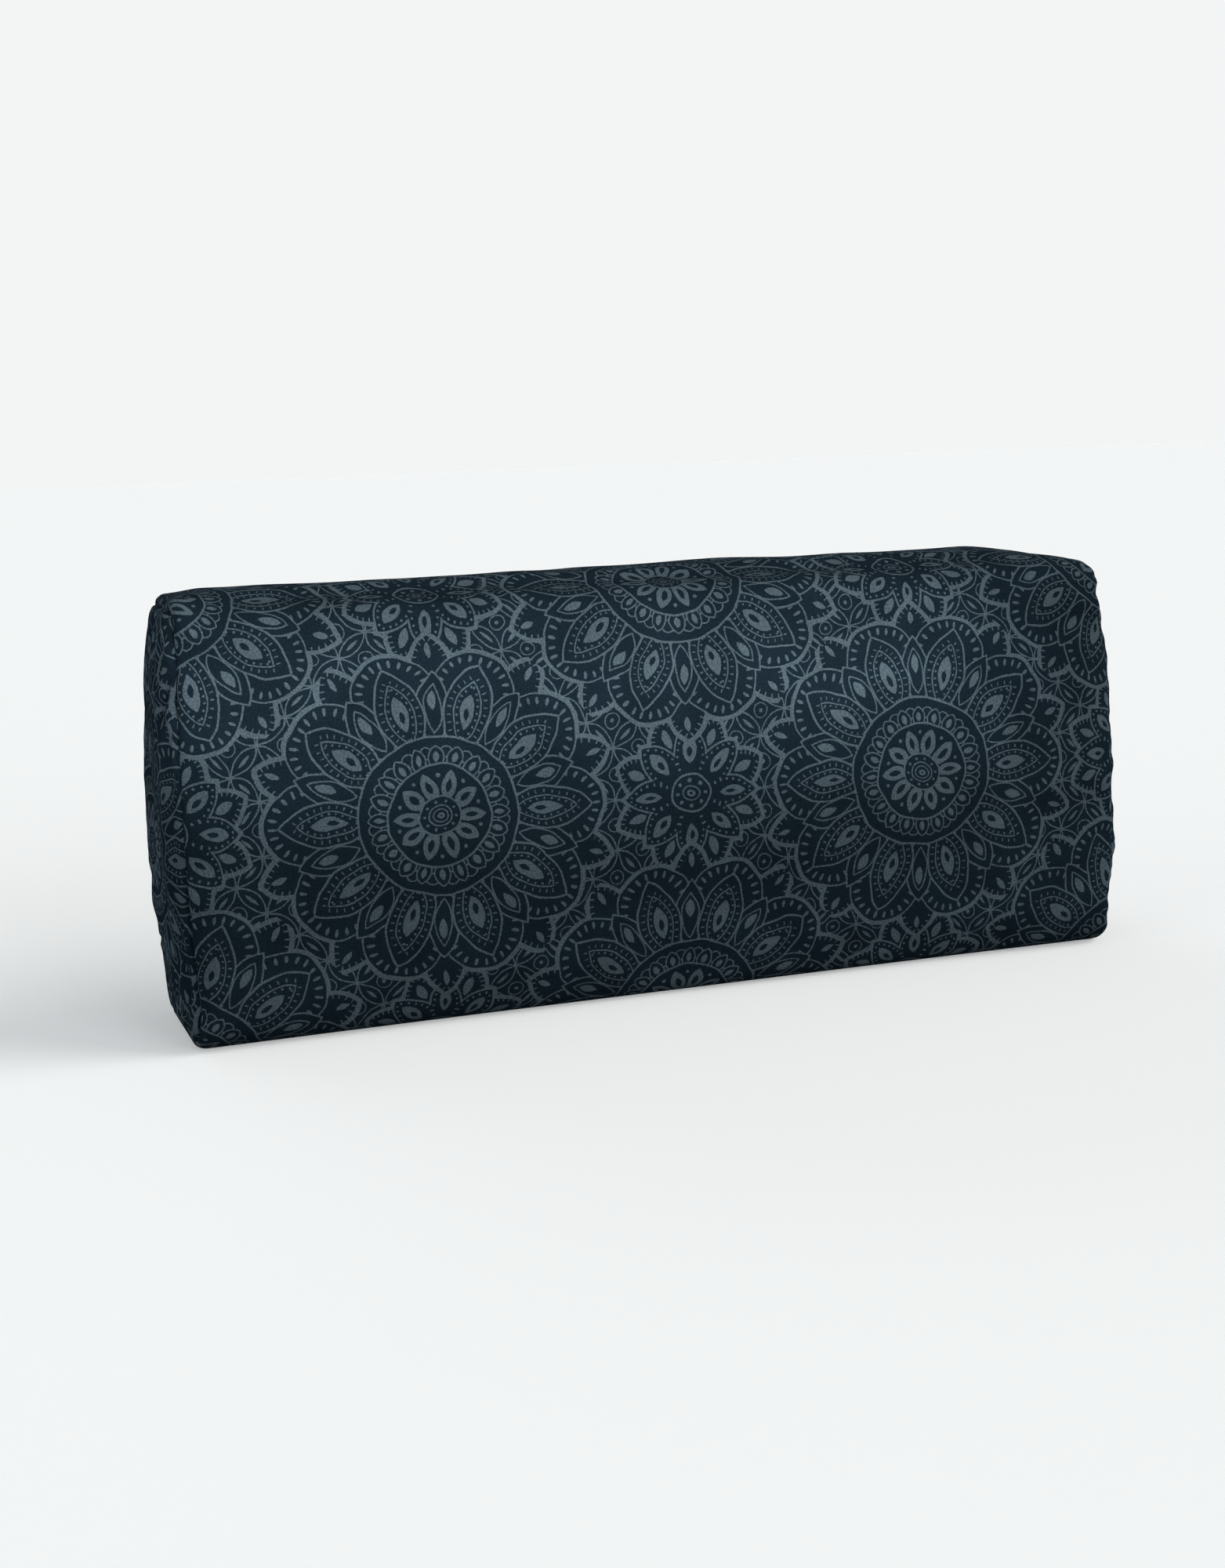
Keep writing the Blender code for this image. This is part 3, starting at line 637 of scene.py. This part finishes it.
def rim_way(share_across, share_up):
    """How far round the rim a ray from a panel's middle meets it, for a corner of its grid."""
    reach = max(abs(share_across), abs(share_up))
    across = (share_across / reach + 1) / 2 * ACROSS
    up = (share_up / reach + 1) / 2 * UPWARDS
    if abs(share_up) >= abs(share_across):
        step = across if share_up < 0 else ACROSS + UPWARDS + ACROSS - across
    else:
        step = ACROSS + up if share_across > 0 else 2 * ACROSS + 2 * UPWARDS - up
    ways = ROWS[:-1] + [GIRTH + way for way in ROWS]
    return float(np.interp(FIRST_CORNER + step, range(len(ways)), ways))


def lay_panel(end, fullness):
    """An end panel, spread inwards from the sleeve's rim and crowned."""
    bm, places = cloth_grid(ACROSS, UPWARDS)
    on = marks(bm)
    middle = Vector((end * (PANEL_AT + ENDS[end]["middle"]), 0, BODY_HEIGHT / 2))
    for v, (column, row) in places.items():
        shares = (2 * column / ACROSS - 1, 2 * row / UPWARDS - 1)
        reach = max(abs(share) for share in shares)
        edge = stuffed(end * HALF_CUT, rim_way(*shares)) if reach else middle
        v.co = middle.lerp(edge, reach)
        v[on.rim] = edge
        v[on.away] = (edge - v.co).length
    inner = [v for v in bm.verts if not v.is_boundary]
    for _ in range(SMOOTHINGS):
        bmesh.ops.smooth_vert(bm, verts=inner, factor=0.5, use_axis_y=True, use_axis_z=True)
    for v in bm.verts:
        v[on.flat] = (-end * v.co.y, v.co.z, 0)
        share = 1 - min(v[on.away] / CROWN_RAMP, 1.0)
        v.co.x += end * END_CROWN * fullness * (1 - share**CROWN_POWER)
    for face in bm.faces:
        face[on.part] = PANEL[end]
    lay_print(bm, PANEL_PRINT[end], (-0.075, -0.005), (0.075, 0.285))
    return bm


# %% Sew the three pieces into one closed skin
SLACK_START = 0.85


def put_together(*pieces):
    """Several forms in one."""
    whole = bmesh.new()
    for bm in pieces:
        passing = as_mesh("passing", bm)
        whole.from_mesh(passing)
        bpy.data.meshes.remove(passing)
    return whole


def joined(*pieces):
    """Several forms in one, with the edges that meet merged."""
    whole = put_together(*pieces)
    bmesh.ops.remove_doubles(whole, verts=whole.verts, dist=1e-5)
    bmesh.ops.recalc_face_normals(whole, faces=whole.faces)
    return whole


skin = joined(lay_sleeve(SLACK_START), lay_panel(-1, SLACK_START), lay_panel(1, SLACK_START))
print(len(skin.verts), "corners,", sum(edge.is_boundary for edge in skin.edges), "open edges")

# %% [markdown]
# ## Stuffing it
# Foam and batting push the cover out until its weave takes the load. A cloth simulation with air
# pressure inside does the same: the faces swell between their seams, and the cloth eases round the
# corners. Gravity is off, because the filling carries itself. The bolster stays flat where it stands,
# and the strip by the zip is held. No place may move further than a few millimetres, so the size holds.

# %% Cloth simulation
PRESSURE, STIFFNESS, STEPS, MOST = 1.1, 2.0, 20, 0.0035
GROUND, GROUND_FADE = 0.012, 0.010
ZIP_STRIP, ZIP_FADE, BACK_FACE = 0.100, 0.030, 0.050


def held(place):
    """1 where the cloth can't move: under the bolster and along the zip."""
    under = min(max((GROUND - place.z) / GROUND_FADE, 0.0), 1.0)
    by_zip = min(max((ZIP_STRIP - place.z) / ZIP_FADE, 0.0), 1.0) if place.y > BACK_FACE else 0.0
    return max(under, by_zip)


def stuff(bm):
    """Blows the skin up, and gives back how far each of its corners moved."""
    form = placed("skin", as_mesh("skin", bm.copy()))
    mesh = form.data
    pins = form.vertex_groups.new(name="pins")
    for v in mesh.vertices:
        pins.add([v.index], held(v.co), "REPLACE")
    cloth = form.modifiers.new("stuffing", "CLOTH").settings
    cloth.use_pressure = True
    cloth.uniform_pressure_force = PRESSURE
    cloth.effector_weights.gravity = 0
    cloth.vertex_group_mass = "pins"
    cloth.bending_stiffness = STIFFNESS
    scene = bpy.context.scene
    for step in range(1, STEPS + 1):
        scene.frame_set(step)
    swollen = form.evaluated_get(bpy.context.evaluated_depsgraph_get()).to_mesh()
    moves = [after.co - before.co for after, before in zip(swollen.vertices, mesh.vertices)]
    moves = [move * min(1.0, MOST / max(move.length, 1e-9)) for move in moves]
    for v, move in zip(bm.verts, moves):
        v.co += move
        v.co.z = max(v.co.z, 0.0)
    scene.frame_set(1)
    bpy.data.objects.remove(form)
    return [move.length for move in moves]


moves = stuff(skin)
print(f"the cloth moved {1000 * np.mean(moves):.1f} mm on average, {1000 * max(moves):.1f} mm at most")

# %% [markdown]
# ## Seams, gathers and folds
# Each sewn edge turns its allowance into the bolster, so two rolls of cloth meet in a valley there.
# The thread draws the cloth in, and short gathers run out from the seam, deepest at the corners, where
# more cloth is eased in. They are moves along the cloth's own normal, set by noise that is read along
# the rim, so that each gather runs square to its seam.

# %% Turning the allowances in
def turn_in(bm, edges, inward, depth):
    """Extrudes sewn edges into the bolster, and carries the print on over the fold."""
    on = marks(bm)
    beside = {edge: edge.link_faces[0] for edge in edges}
    fresh = bmesh.ops.extrude_edge_only(bm, edges=edges)["geom"]
    for v in fresh:
        if isinstance(v, bmesh.types.BMVert):
            v.co += inward(v) * depth
    for edge, face in beside.items():
        strip = next(f for f in edge.link_faces if f is not face)
        for layer in (on.cloth, on.baked):
            ends = {loop.vert: loop[layer].uv.copy() for loop in face.loops if loop.vert in edge.verts}
            middle = sum((loop[layer].uv for loop in face.loops), Vector((0, 0))) / len(face.loops)
            here = sum(ends.values(), Vector((0, 0))) / 2
            scale = (here - middle).length * 2 / max(face.calc_area() / edge.calc_length(), 1e-9)
            step = (here - middle).normalized() * scale * depth
            for loop in strip.loops:
                if loop.vert in ends:
                    loop[layer].uv = ends[loop.vert]
                else:
                    across = [spoke.other_vert(loop.vert) for spoke in loop.vert.link_edges]
                    root = next(v for v in across if v in ends)
                    loop[layer].uv = ends[root] + step


# %% Gathers, swells and the seam past the zip
# Short and long gathers: height, waves per metre, shift, how far they run and where they start.
GATHERS = ((0.0012, 115, 1, 0.012, 0.0025), (0.0022, 48, 3, 0.034, 0.006))
RIM_HALF_WIDTH, RIM_HALF_HEIGHT, EASE, CORNER_EASE = 0.056, 0.128, 0.80, 1.6
VALLEY, VALLEY_WIDTH, SEAM_ROLL, ROLL_AT, ROLL_WIDTH = 0.0030, 0.0022, 0.0006, 0.008, 0.005
WIDE_SWELL, NARROW_SWELL, SWELL_START = 0.0022, 0.0009, 0.015
SEAM_PAST_ZIP, SEAM_PAST_ZIP_WIDTH = 0.0013, 0.0018


def gathers(rim, away):
    """How far the cloth stands proud or sinks near an end seam, in metres."""
    corner = hypot(rim.y / RIM_HALF_WIDTH, (rim.z - BODY_HEIGHT / 2) / RIM_HALF_HEIGHT)
    eased = EASE + CORNER_EASE * min(max((corner - 1.05) / 0.25, 0.0), 1.0)
    side = Vector((rim.x * 40, 0, 0))
    proud = 0.0
    for height, waves, shift, run, start in GATHERS:
        wave = noise.noise(rim * waves + side * shift)
        proud += height * wave * exp(-away / run) * (1 - exp(-away / start))
    rolled = SEAM_ROLL * exp(-(((away - ROLL_AT) / ROLL_WIDTH) ** 2))
    valley = VALLEY * exp(-away / VALLEY_WIDTH) - rolled
    return eased * proud - valley


def slack(place, away):
    """Soft uneven swells, where the batting is not quite even."""
    wide = noise.noise(Vector((place.x * 8, place.y * 10, place.z * 11)))
    narrow = noise.noise(place * 24 + Vector((3, 5, 7)))
    return (WIDE_SWELL * wide + NARROW_SWELL * narrow) * (1 - exp(-away / SWELL_START))


def back_seam(place):
    """How deep the seam lies that goes on from each end of the zip."""
    if place.y < CORE_Y:
        return 0.0
    past = min(max((abs(place.x) - SLOT_HALF) / 0.004, 0.0), 1.0)
    return SEAM_PAST_ZIP * past * exp(-(((place.z - ZIP_HEIGHT) / SEAM_PAST_ZIP_WIDTH) ** 2))


# %% A finer skin, and a piece of it with its thickness
def finished(obj):
    """Applies what modifiers an object has."""
    mesh = bpy.data.meshes.new_from_object(obj.evaluated_get(bpy.context.evaluated_depsgraph_get()))
    obj.modifiers.clear()
    obj.data = mesh
    return obj


def dressed(whole):
    """The whole skin one round of subdivision finer, with its valleys, gathers and swells."""
    form = placed("skin", as_mesh("skin", whole.copy()))
    finer = form.modifiers.new("finer", "SUBSURF")
    finer.levels = finer.render_levels = 1
    fine = bmesh.new()
    fine.from_mesh(finished(form).data)
    bpy.data.objects.remove(form)
    fine.normal_update()
    on = marks(fine)
    moves = []
    for v in fine.verts:
        gap = max(v[on.away], 0.0)
        proud = (1 - held(v.co)) * (gathers(v[on.rim], gap) + slack(v.co, gap))
        moves.append(v.normal * (proud - back_seam(v.co)))
    for v, move in zip(fine.verts, moves):
        v.co += move
        v.co.z = max(v.co.z, 0.0)
    return fine


def cloth_piece(name, bm, material):
    """A sewn piece gets its thickness."""
    piece = placed(name, as_mesh(name, bm))
    piece.data.materials.append(material)
    thick = piece.modifiers.new("thickness", "SOLIDIFY")
    thick.thickness = CLOTH
    thick.offset = -1
    finished(piece)
    piece.data.shade_smooth()
    return piece


# %% The sleeve and the two end panels as separate pieces
HEM = 0.0011


def cut_out(number, whole):
    """One sewn piece of a whole skin."""
    bm = whole.copy()
    part = marks(bm).part
    bmesh.ops.delete(bm, geom=[face for face in bm.faces if face[part] != number], context="FACES")
    return bm


def in_slot(face, cloth):
    """Whether a face of the flat sleeve lies where the zip's slot is cut."""
    along, way = sum((loop[cloth].uv for loop in face.loops), Vector((0, 0))) / len(face.loops)
    way += FRONT_MIDDLE
    return abs(along) < SLOT_HALF and min(way, GIRTH - way) < SLOT_WIDTH / 2


fine_skin = dressed(skin)
sleeve = cut_out(SLEEVE, fine_skin)
slot = [face for face in sleeve.faces if in_slot(face, marks(sleeve).cloth)]
bmesh.ops.delete(sleeve, geom=slot, context="FACES")
ends = [edge for edge in sleeve.edges if edge.is_boundary and abs(edge.verts[0].co.x) > 0.300]
turn_in(sleeve, ends, lambda v: Vector((-1 if v.co.x > 0 else 1, 0, 0)), SEAM_ALLOWANCE)
hems = [edge for edge in sleeve.edges if edge.is_boundary and abs(edge.verts[0].co.x) < SLOT_HALF + 0.001]
turn_in(sleeve, hems, lambda v: Vector((0, -1, 0)), HEM)
wrap = cloth_piece("suede_sleeve", sleeve, suede)
panels = {}
for word, end in (("left", -1), ("right", 1)):
    panel = cut_out(PANEL[end], fine_skin)
    edges = [edge for edge in panel.edges if edge.is_boundary]
    turn_in(panel, edges, lambda v: Vector((-end, 0, 0)), SEAM_ALLOWANCE)
    panels[end] = cloth_piece(f"suede_end_{word}", panel, suede)
print([(piece.name, len(piece.data.polygons)) for piece in (wrap, *panels.values())])

# %% [markdown]
# ## What is inside
# Under the suede lies a sewn cotton liner, then batting, then three foam slabs. They follow the same
# skin, pushed inwards, and behind the zip they dip so that the slider runs free. The batting's inner
# face follows the foam instead, so it is the batting that takes up the dents, as it does in a real
# bolster. Where the ends are drawn in further than that, the foam gives way too. These layers show only
# when the cover comes off.

# %% A layer between two depths
FORM = joined(lay_sleeve(1.0), lay_panel(-1, 1.0), lay_panel(1, 1.0))
# The hollow behind the zip, with half its height and how softly it ends, and the depth of inner seams.
DIP, DIP_HALF, DIP_FADE, SEAM_DEPTH = 0.0031, 0.0144, 0.007, 0.004
# How deep the outer and the inner face of each layer lie.
LINER_FACES, BATTING_FACES = (0.0019, 0.0025), (0.0029, 0.0121)


def dip(place):
    """How much of the hollow behind the zip there is at a place."""
    if place.y < CORE_Y:
        return 0.0
    beside = (DIP_HALF + DIP_FADE - abs(place.z - ZIP_HEIGHT)) / DIP_FADE
    along = (TURN_START - abs(place.x)) / (TURN_START - SLOT_HALF - 0.010)
    return min(max(beside, 0.0), 1.0) * min(max(along, 0.0), 1.0)


def pushed_in(bm, depth, hollow, dented):
    """A copy of a whole skin, this far inside it."""
    inner = bm.copy()
    inner.normal_update()
    on = marks(inner)
    for v in inner.verts:
        gap = max(v[on.away], 0.0)
        proud = (1 - held(v.co)) * (gathers(v[on.rim], gap) + slack(v.co, gap))
        sunk = SEAM_DEPTH * exp(-gap / 0.010) + back_seam(v.co)
        v.co += v.normal * ((proud if dented else 0.0) - depth - hollow * dip(v.co) - sunk)
    return inner


def layer_piece(name, number, outside, inside, material):
    """The closed solid between two skins, for the sleeve or for one end."""
    inner = cut_out(number, inside)
    bmesh.ops.reverse_faces(inner, faces=inner.faces)
    bm = put_together(cut_out(number, outside), inner)
    rims = [edge for edge in bm.edges if edge.is_boundary]
    for sign in (-1, 1):
        loop = [edge for edge in rims if edge.verts[0].co.x * sign > 0]
        if loop:
            bmesh.ops.bridge_loops(bm, edges=loop)
    bmesh.ops.recalc_face_normals(bm, faces=bm.faces)
    piece = placed(name, as_mesh(name, bm))
    piece.data.shade_smooth()
    piece.data.materials.append(material)
    return piece


# %% [markdown]
# ## Calico, batting and foam
# Calico is plain-woven, unbleached cotton, matt and cream with darker flecks of seed husk: two waves
# cross as warp and weft. Batting is carded cotton, a loose fleece without a weave, so only soft noise
# lifts it. Foam is cut from a block, which opens its cells, and they show as small pits, whose middles
# are painted darker as painted shade. Real threads are finer than this picture shows, so they are drawn
# 0.7 mm wide.

# %% Calico
THREAD_MM = 0.7

calico, tree, shader = new_material("unbleached_woven_calico")
cloth_mm = add(tree, VECTOR, add(tree, "ShaderNodeUVMap", uv_map="cloth"), CLOTH_MM, operation="MULTIPLY")
warp = add(tree, "ShaderNodeTexWave", cloth_mm, 0.5 / THREAD_MM, 0.6, 1.0, 1.0, bands_direction="X")
weft = add(tree, "ShaderNodeTexWave", cloth_mm, 0.5 / THREAD_MM, 0.6, 1.0, 1.0, bands_direction="Y")
threads = add(tree, MATH, warp.node.outputs["Fac"], weft.node.outputs["Fac"], operation="MULTIPLY")
flecks = add(tree, "ShaderNodeTexNoise", cloth_mm, 0.35, 4.0, 0.6, noise_dimensions="2D")
fill(shader, {
    "Base Color": add(tree, MIX, flecks, linear("#d8cfb8"), linear("#efe9da"), data_type="RGBA"),
    "Normal": add(tree, "ShaderNodeBump", 0.5, 0.0002, None, threads),
    "Roughness": 0.95,
    "Sheen Weight": 0.2,
})
print("nodes in the calico", len(tree.nodes))

# %% Batting and foam
SOLID_MM = (1000.0, 1000.0, 1000.0)

wadding, tree, shader = new_material("carded_cotton_batting")
place = add(tree, VECTOR, tree.nodes.new("ShaderNodeTexCoord").outputs["Object"], SOLID_MM, operation="MULTIPLY")
tufts = add(tree, "ShaderNodeTexNoise", place, 0.12, 6.0, 0.7)
fill(shader, {
    "Base Color": add(tree, MIX, tufts, linear("#d9d6cc"), linear("#f4f2ec"), data_type="RGBA"),
    "Normal": add(tree, "ShaderNodeBump", 0.8, 0.002, None, tufts),
    "Roughness": 1.0,
    "Sheen Weight": 0.5,
})

foam, tree, shader = new_material("cut_open_cell_foam")
place = add(tree, VECTOR, tree.nodes.new("ShaderNodeTexCoord").outputs["Object"], SOLID_MM, operation="MULTIPLY")
# Distance from each cell's middle: the pits are deepest there, and the colour is darker there as painted shade.
pit_depth_and_painted_shade = add(tree, "ShaderNodeTexVoronoi", place, 0.9)
fill(shader, {
    "Base Color": add(tree, MIX, pit_depth_and_painted_shade, linear("#cfc6a4"), linear("#e6dfc6"), data_type="RGBA"),
    "Normal": add(tree, "ShaderNodeBump", 0.7, 0.0006, None, pit_depth_and_painted_shade),
    "Roughness": 1.0,
})
print("filling materials", wadding.name, foam.name)

# %% Liner, batting and foam
FOAM_CLEAR = 0.0002


def pressed(mesh, wall):
    """A foam slab gives way where the layers round it press in."""
    for v in mesh.vertices:
        start = Vector((v.co.x * 0.9, 0.0, BODY_HEIGHT / 2))
        way = v.co - start
        reach = wall.ray_cast(start, way.normalized(), way.length + FOAM_CLEAR)[3]
        if reach is not None:
            v.co = start + way.normalized() * (reach - FOAM_CLEAR)


dented = [pushed_in(skin, depth, DIP, True) for depth in (*LINER_FACES, BATTING_FACES[0])]
foam_side = pushed_in(FORM, BATTING_FACES[1], 0.0, False)
layers = {}
PARTS = (("sleeve", SLEEVE, "wrap"), ("left", PANEL[-1], "end_left"), ("right", PANEL[1], "end_right"))
for word, number, node in PARTS:
    liner = layer_piece(f"calico_liner_{word}", number, dented[0], dented[1], calico)
    batting = layer_piece(f"cotton_batting_{word}", number, dented[2], foam_side, wadding)
    layers[f"liner_{node}"] = (liner, "cotton_liner")
    layers[f"batting_{node}"] = (batting, "cotton_batting")
wall = BVHTree.FromBMesh(foam_side)
for k in (1, 2, 3):
    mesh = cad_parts[f"foam_slab_{k}"].data.copy()
    pressed(mesh, wall)
    mesh.materials[0] = foam
    layers[f"foam_slab_{k}"] = (placed(f"foam_block_{k}", mesh), "firm_foam")
for node, (piece, slot_name) in layers.items():
    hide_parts(node)
    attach(piece, "cushion")
print([(piece.name, len(piece.data.polygons)) for piece, _ in layers.values()])

# %% [markdown]
# ## The zip
# The teeth are moulded straight onto the tapes in acetal, a hard plastic that is slightly glossy. The
# tapes are polyester twill, whose threads step sideways from row to row, which gives slanting ribs.
# Slider, tab and stops are cast or folded zinc under a dark baked enamel, rubbed through to bright metal
# in small spots, as fingers and teeth leave it. The solids keep their own shapes here and only get a finish. Real
# ribs are finer than this picture shows, so they are drawn 1 mm wide.

# %% Acetal
acetal, tree, shader = new_material("moulded_acetal")
place = add(tree, VECTOR, tree.nodes.new("ShaderNodeTexCoord").outputs["Object"], SOLID_MM, operation="MULTIPLY")
flow = add(tree, "ShaderNodeTexNoise", place, 0.8, 3.0, 0.6)
fill(shader, {
    "Base Color": add(tree, MIX, flow, linear("#1d2831"), linear("#37444f"), data_type="RGBA"),
    "Normal": add(tree, "ShaderNodeBump", 0.3, 0.0001, None, flow),
    "Roughness": add(tree, "ShaderNodeMapRange", flow, 0.3, 0.7, 0.34, 0.5),
    "IOR": 1.48,
})
print("nodes in the acetal", len(tree.nodes))

# %% Twill
RIB_MM, BACK_MM = 1.0, (1000.0, 0.0, 1000.0)

twill, tree, shader = new_material("polyester_twill_tape")
place = add(tree, VECTOR, tree.nodes.new("ShaderNodeTexCoord").outputs["Object"], BACK_MM, operation="MULTIPLY")
ribs = add(tree, "ShaderNodeTexWave", place, 0.31 / RIB_MM, 0.4, 1.0, 1.0, bands_direction="DIAGONAL")
ribs = ribs.node.outputs["Fac"]
fuzz = add(tree, "ShaderNodeTexNoise", place, 1.2, 3.0, 0.6)
shade = add(tree, MATH, ribs, 0.45, add(tree, MATH, fuzz, 0.5, operation="MULTIPLY"), operation="MULTIPLY_ADD")
fill(shader, {
    "Base Color": add(tree, MIX, shade, linear("#10181f"), linear("#34424d"), data_type="RGBA"),
    "Normal": add(tree, "ShaderNodeBump", 0.6, 0.0003, None, ribs),
    "Roughness": 0.8,
    "Specular IOR Level": 0.2,
})
print("nodes in the twill", len(tree.nodes))

# %% Enamel, and the finishes on the solids
enamel, tree, shader = new_material("baked_enamel_on_zinc")
place = add(tree, VECTOR, tree.nodes.new("ShaderNodeTexCoord").outputs["Object"], SOLID_MM, operation="MULTIPLY")
rubbed = add(tree, "ShaderNodeTexNoise", place, 0.32, 4.0, 0.65)
bare = add(tree, "ShaderNodeMapRange", rubbed, 0.68, 0.72, 0.0, 1.0)
peel = add(tree, "ShaderNodeTexNoise", place, 1.6, 1.0, 0.5)
fill(shader, {
    "Base Color": add(tree, MIX, bare, linear("#1c252e"), linear("#8a9097"), data_type="RGBA"),
    "Metallic": bare,
    "Normal": add(tree, "ShaderNodeBump", 0.25, 0.0001, None, peel),
    "Roughness": add(tree, "ShaderNodeMapRange", peel, 0.3, 0.7, 0.30, 0.44),
})

TRIM = {"zip_teeth": acetal, "zip_tape": twill, "zip_top_stop": enamel}
for word, material in TRIM.items():
    for side in ("upper", "lower"):
        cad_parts[f"{word}_{side}"].data.materials[0] = material
for name in ("zip_bottom_stop", "zip_slider", "zip_pull_tab"):
    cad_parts[name].data.materials[0] = enamel
print("zip finishes", acetal.name, twill.name, enamel.name)

# %% [markdown]
# ## Topstitching
# The cover's folded hems are sewn down onto the tapes by a row of lockstitch on each side of the slot,
# and each end of the slot is closed by a bar tack, a block of tight stitches. One stitch is a small
# sphere drawn out to a seed shape, because there are hundreds of them and each shows as a dash. The
# thread is spun polyester in a paler slate, dull, with a twist that shows as fine slanting bands.

# %% Lockstitch and bar tacks
STITCH, THREAD, BESIDE_SLOT = 0.0032, 0.0006, 0.003
END_STITCHES, TACKS, TACK_PITCH, TACK_FROM, TACK_TO = 6, 15, 0.0007, -0.0002, 0.0024
SEED_LENGTH, SEED_WIDTH, SEED_HEIGHT = 0.42, 0.55, 0.5


def stitch(bm, start, end):
    """A seed of thread lying on the cloth between two places of the flat sleeve."""
    first, last = stuffed(*start), stuffed(*end)
    run = last - first
    turn = Vector((1, 0, 0)).rotation_difference(run).to_matrix().to_4x4()
    shape = Matrix.Diagonal((run.length * SEED_LENGTH, THREAD * SEED_WIDTH, THREAD * SEED_HEIGHT, 1.0))
    lying = Matrix.Translation((first + last) / 2) @ turn @ shape
    bmesh.ops.create_uvsphere(bm, u_segments=6, v_segments=4, radius=1, matrix=lying)


bm = bmesh.new()
reach, beyond = SLOT_WIDTH / 2 + BESIDE_SLOT, SLOT_HALF + BESIDE_SLOT
count = round(2 * beyond / STITCH)
for k in range(count):
    places = [-beyond + 2 * beyond * share / count for share in (k, k + 1)]
    for way in (reach, GIRTH - reach):
        stitch(bm, (places[0], way), (places[1], way))
for side in (-1, 1):
    for k in range(END_STITCHES):
        ways = [(-reach + 2 * reach * share / END_STITCHES) % GIRTH for share in (k, k + 1)]
        stitch(bm, (side * beyond, ways[0]), (side * beyond, ways[1]))
    for k in range(TACKS):
        way = (k - (TACKS - 1) / 2) * TACK_PITCH % GIRTH
        stitch(bm, (side * (SLOT_HALF + TACK_FROM), way), (side * (SLOT_HALF + TACK_TO), way))
topstitching = placed("zip_topstitching", as_mesh("zip_topstitching", bm))
topstitching.data.shade_smooth()
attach(topstitching, "cushion")

thread, tree, shader = new_material("spun_polyester_thread")
place = add(tree, VECTOR, tree.nodes.new("ShaderNodeTexCoord").outputs["Object"], BACK_MM, operation="MULTIPLY")
twist = add(tree, "ShaderNodeTexWave", place, 0.45, 0.2, 1.0, 1.0, bands_direction="DIAGONAL")
twist = twist.node.outputs["Fac"]
fill(shader, {
    "Base Color": add(tree, MIX, twist, linear("#4a5761"), linear("#76838d"), data_type="RGBA"),
    "Normal": add(tree, "ShaderNodeBump", 0.5, 0.0001, None, twist),
    "Roughness": 0.7,
})
topstitching.data.materials.append(thread)
print("stitches on each side", count, "faces", len(topstitching.data.polygons))

# %% [markdown]
# ## Where the zip ends
# Past the last tooth the two tapes lie apart, and the filling would look out between them. On the real
# zip a small reinforcing patch is sewn behind the tape ends there, so that nothing frays or gapes. A
# thin dark facing on the liner behind it is painted shade: it stands in for the shade over the few
# millimetres that only the slider covers.

# %% Patches behind the tape ends, and dark sheets of painted shade on the liner
PATCH, PATCH_Y, PATCH_X = (0.0142, 0.0006, 0.0105), 0.0626, (-0.2512, 0.2523)
# Dark sheets on the liner that stand in for the shade under the slider: painted shade.
SHADE_SHEET, SHADE_SHEET_Y, SHADE_SHEET_X = (0.0250, 0.0003, 0.0125), 0.06045, (-0.2480, 0.2480)

bm = bmesh.new()
for size, y, middles in ((PATCH, PATCH_Y, PATCH_X), (SHADE_SHEET, SHADE_SHEET_Y, SHADE_SHEET_X)):
    for x in middles:
        spot = Matrix.Translation((x, y, ZIP_HEIGHT)) @ Matrix.Diagonal((*size, 1.0))
        bmesh.ops.create_cube(bm, size=1, matrix=spot)
bmesh.ops.bevel(bm, geom=bm.edges[:], offset=0.0001, segments=2, profile=0.5, affect="EDGES", material=-1)
patches_and_shade_sheets = placed("zip_end_patches_and_shade_sheets", as_mesh("zip_end_patches_and_shade_sheets", bm))
patches_and_shade_sheets.data.materials.append(twill)
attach(patches_and_shade_sheets, "cushion")
print("patch size in millimetres", [round(1000 * part, 1) for part in PATCH])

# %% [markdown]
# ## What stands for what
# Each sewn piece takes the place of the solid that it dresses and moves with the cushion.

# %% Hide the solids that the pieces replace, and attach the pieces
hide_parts("cover_wrap")
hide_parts("end_panel_left")
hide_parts("end_panel_right")
for piece in (wrap, *panels.values()):
    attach(piece, "cushion")
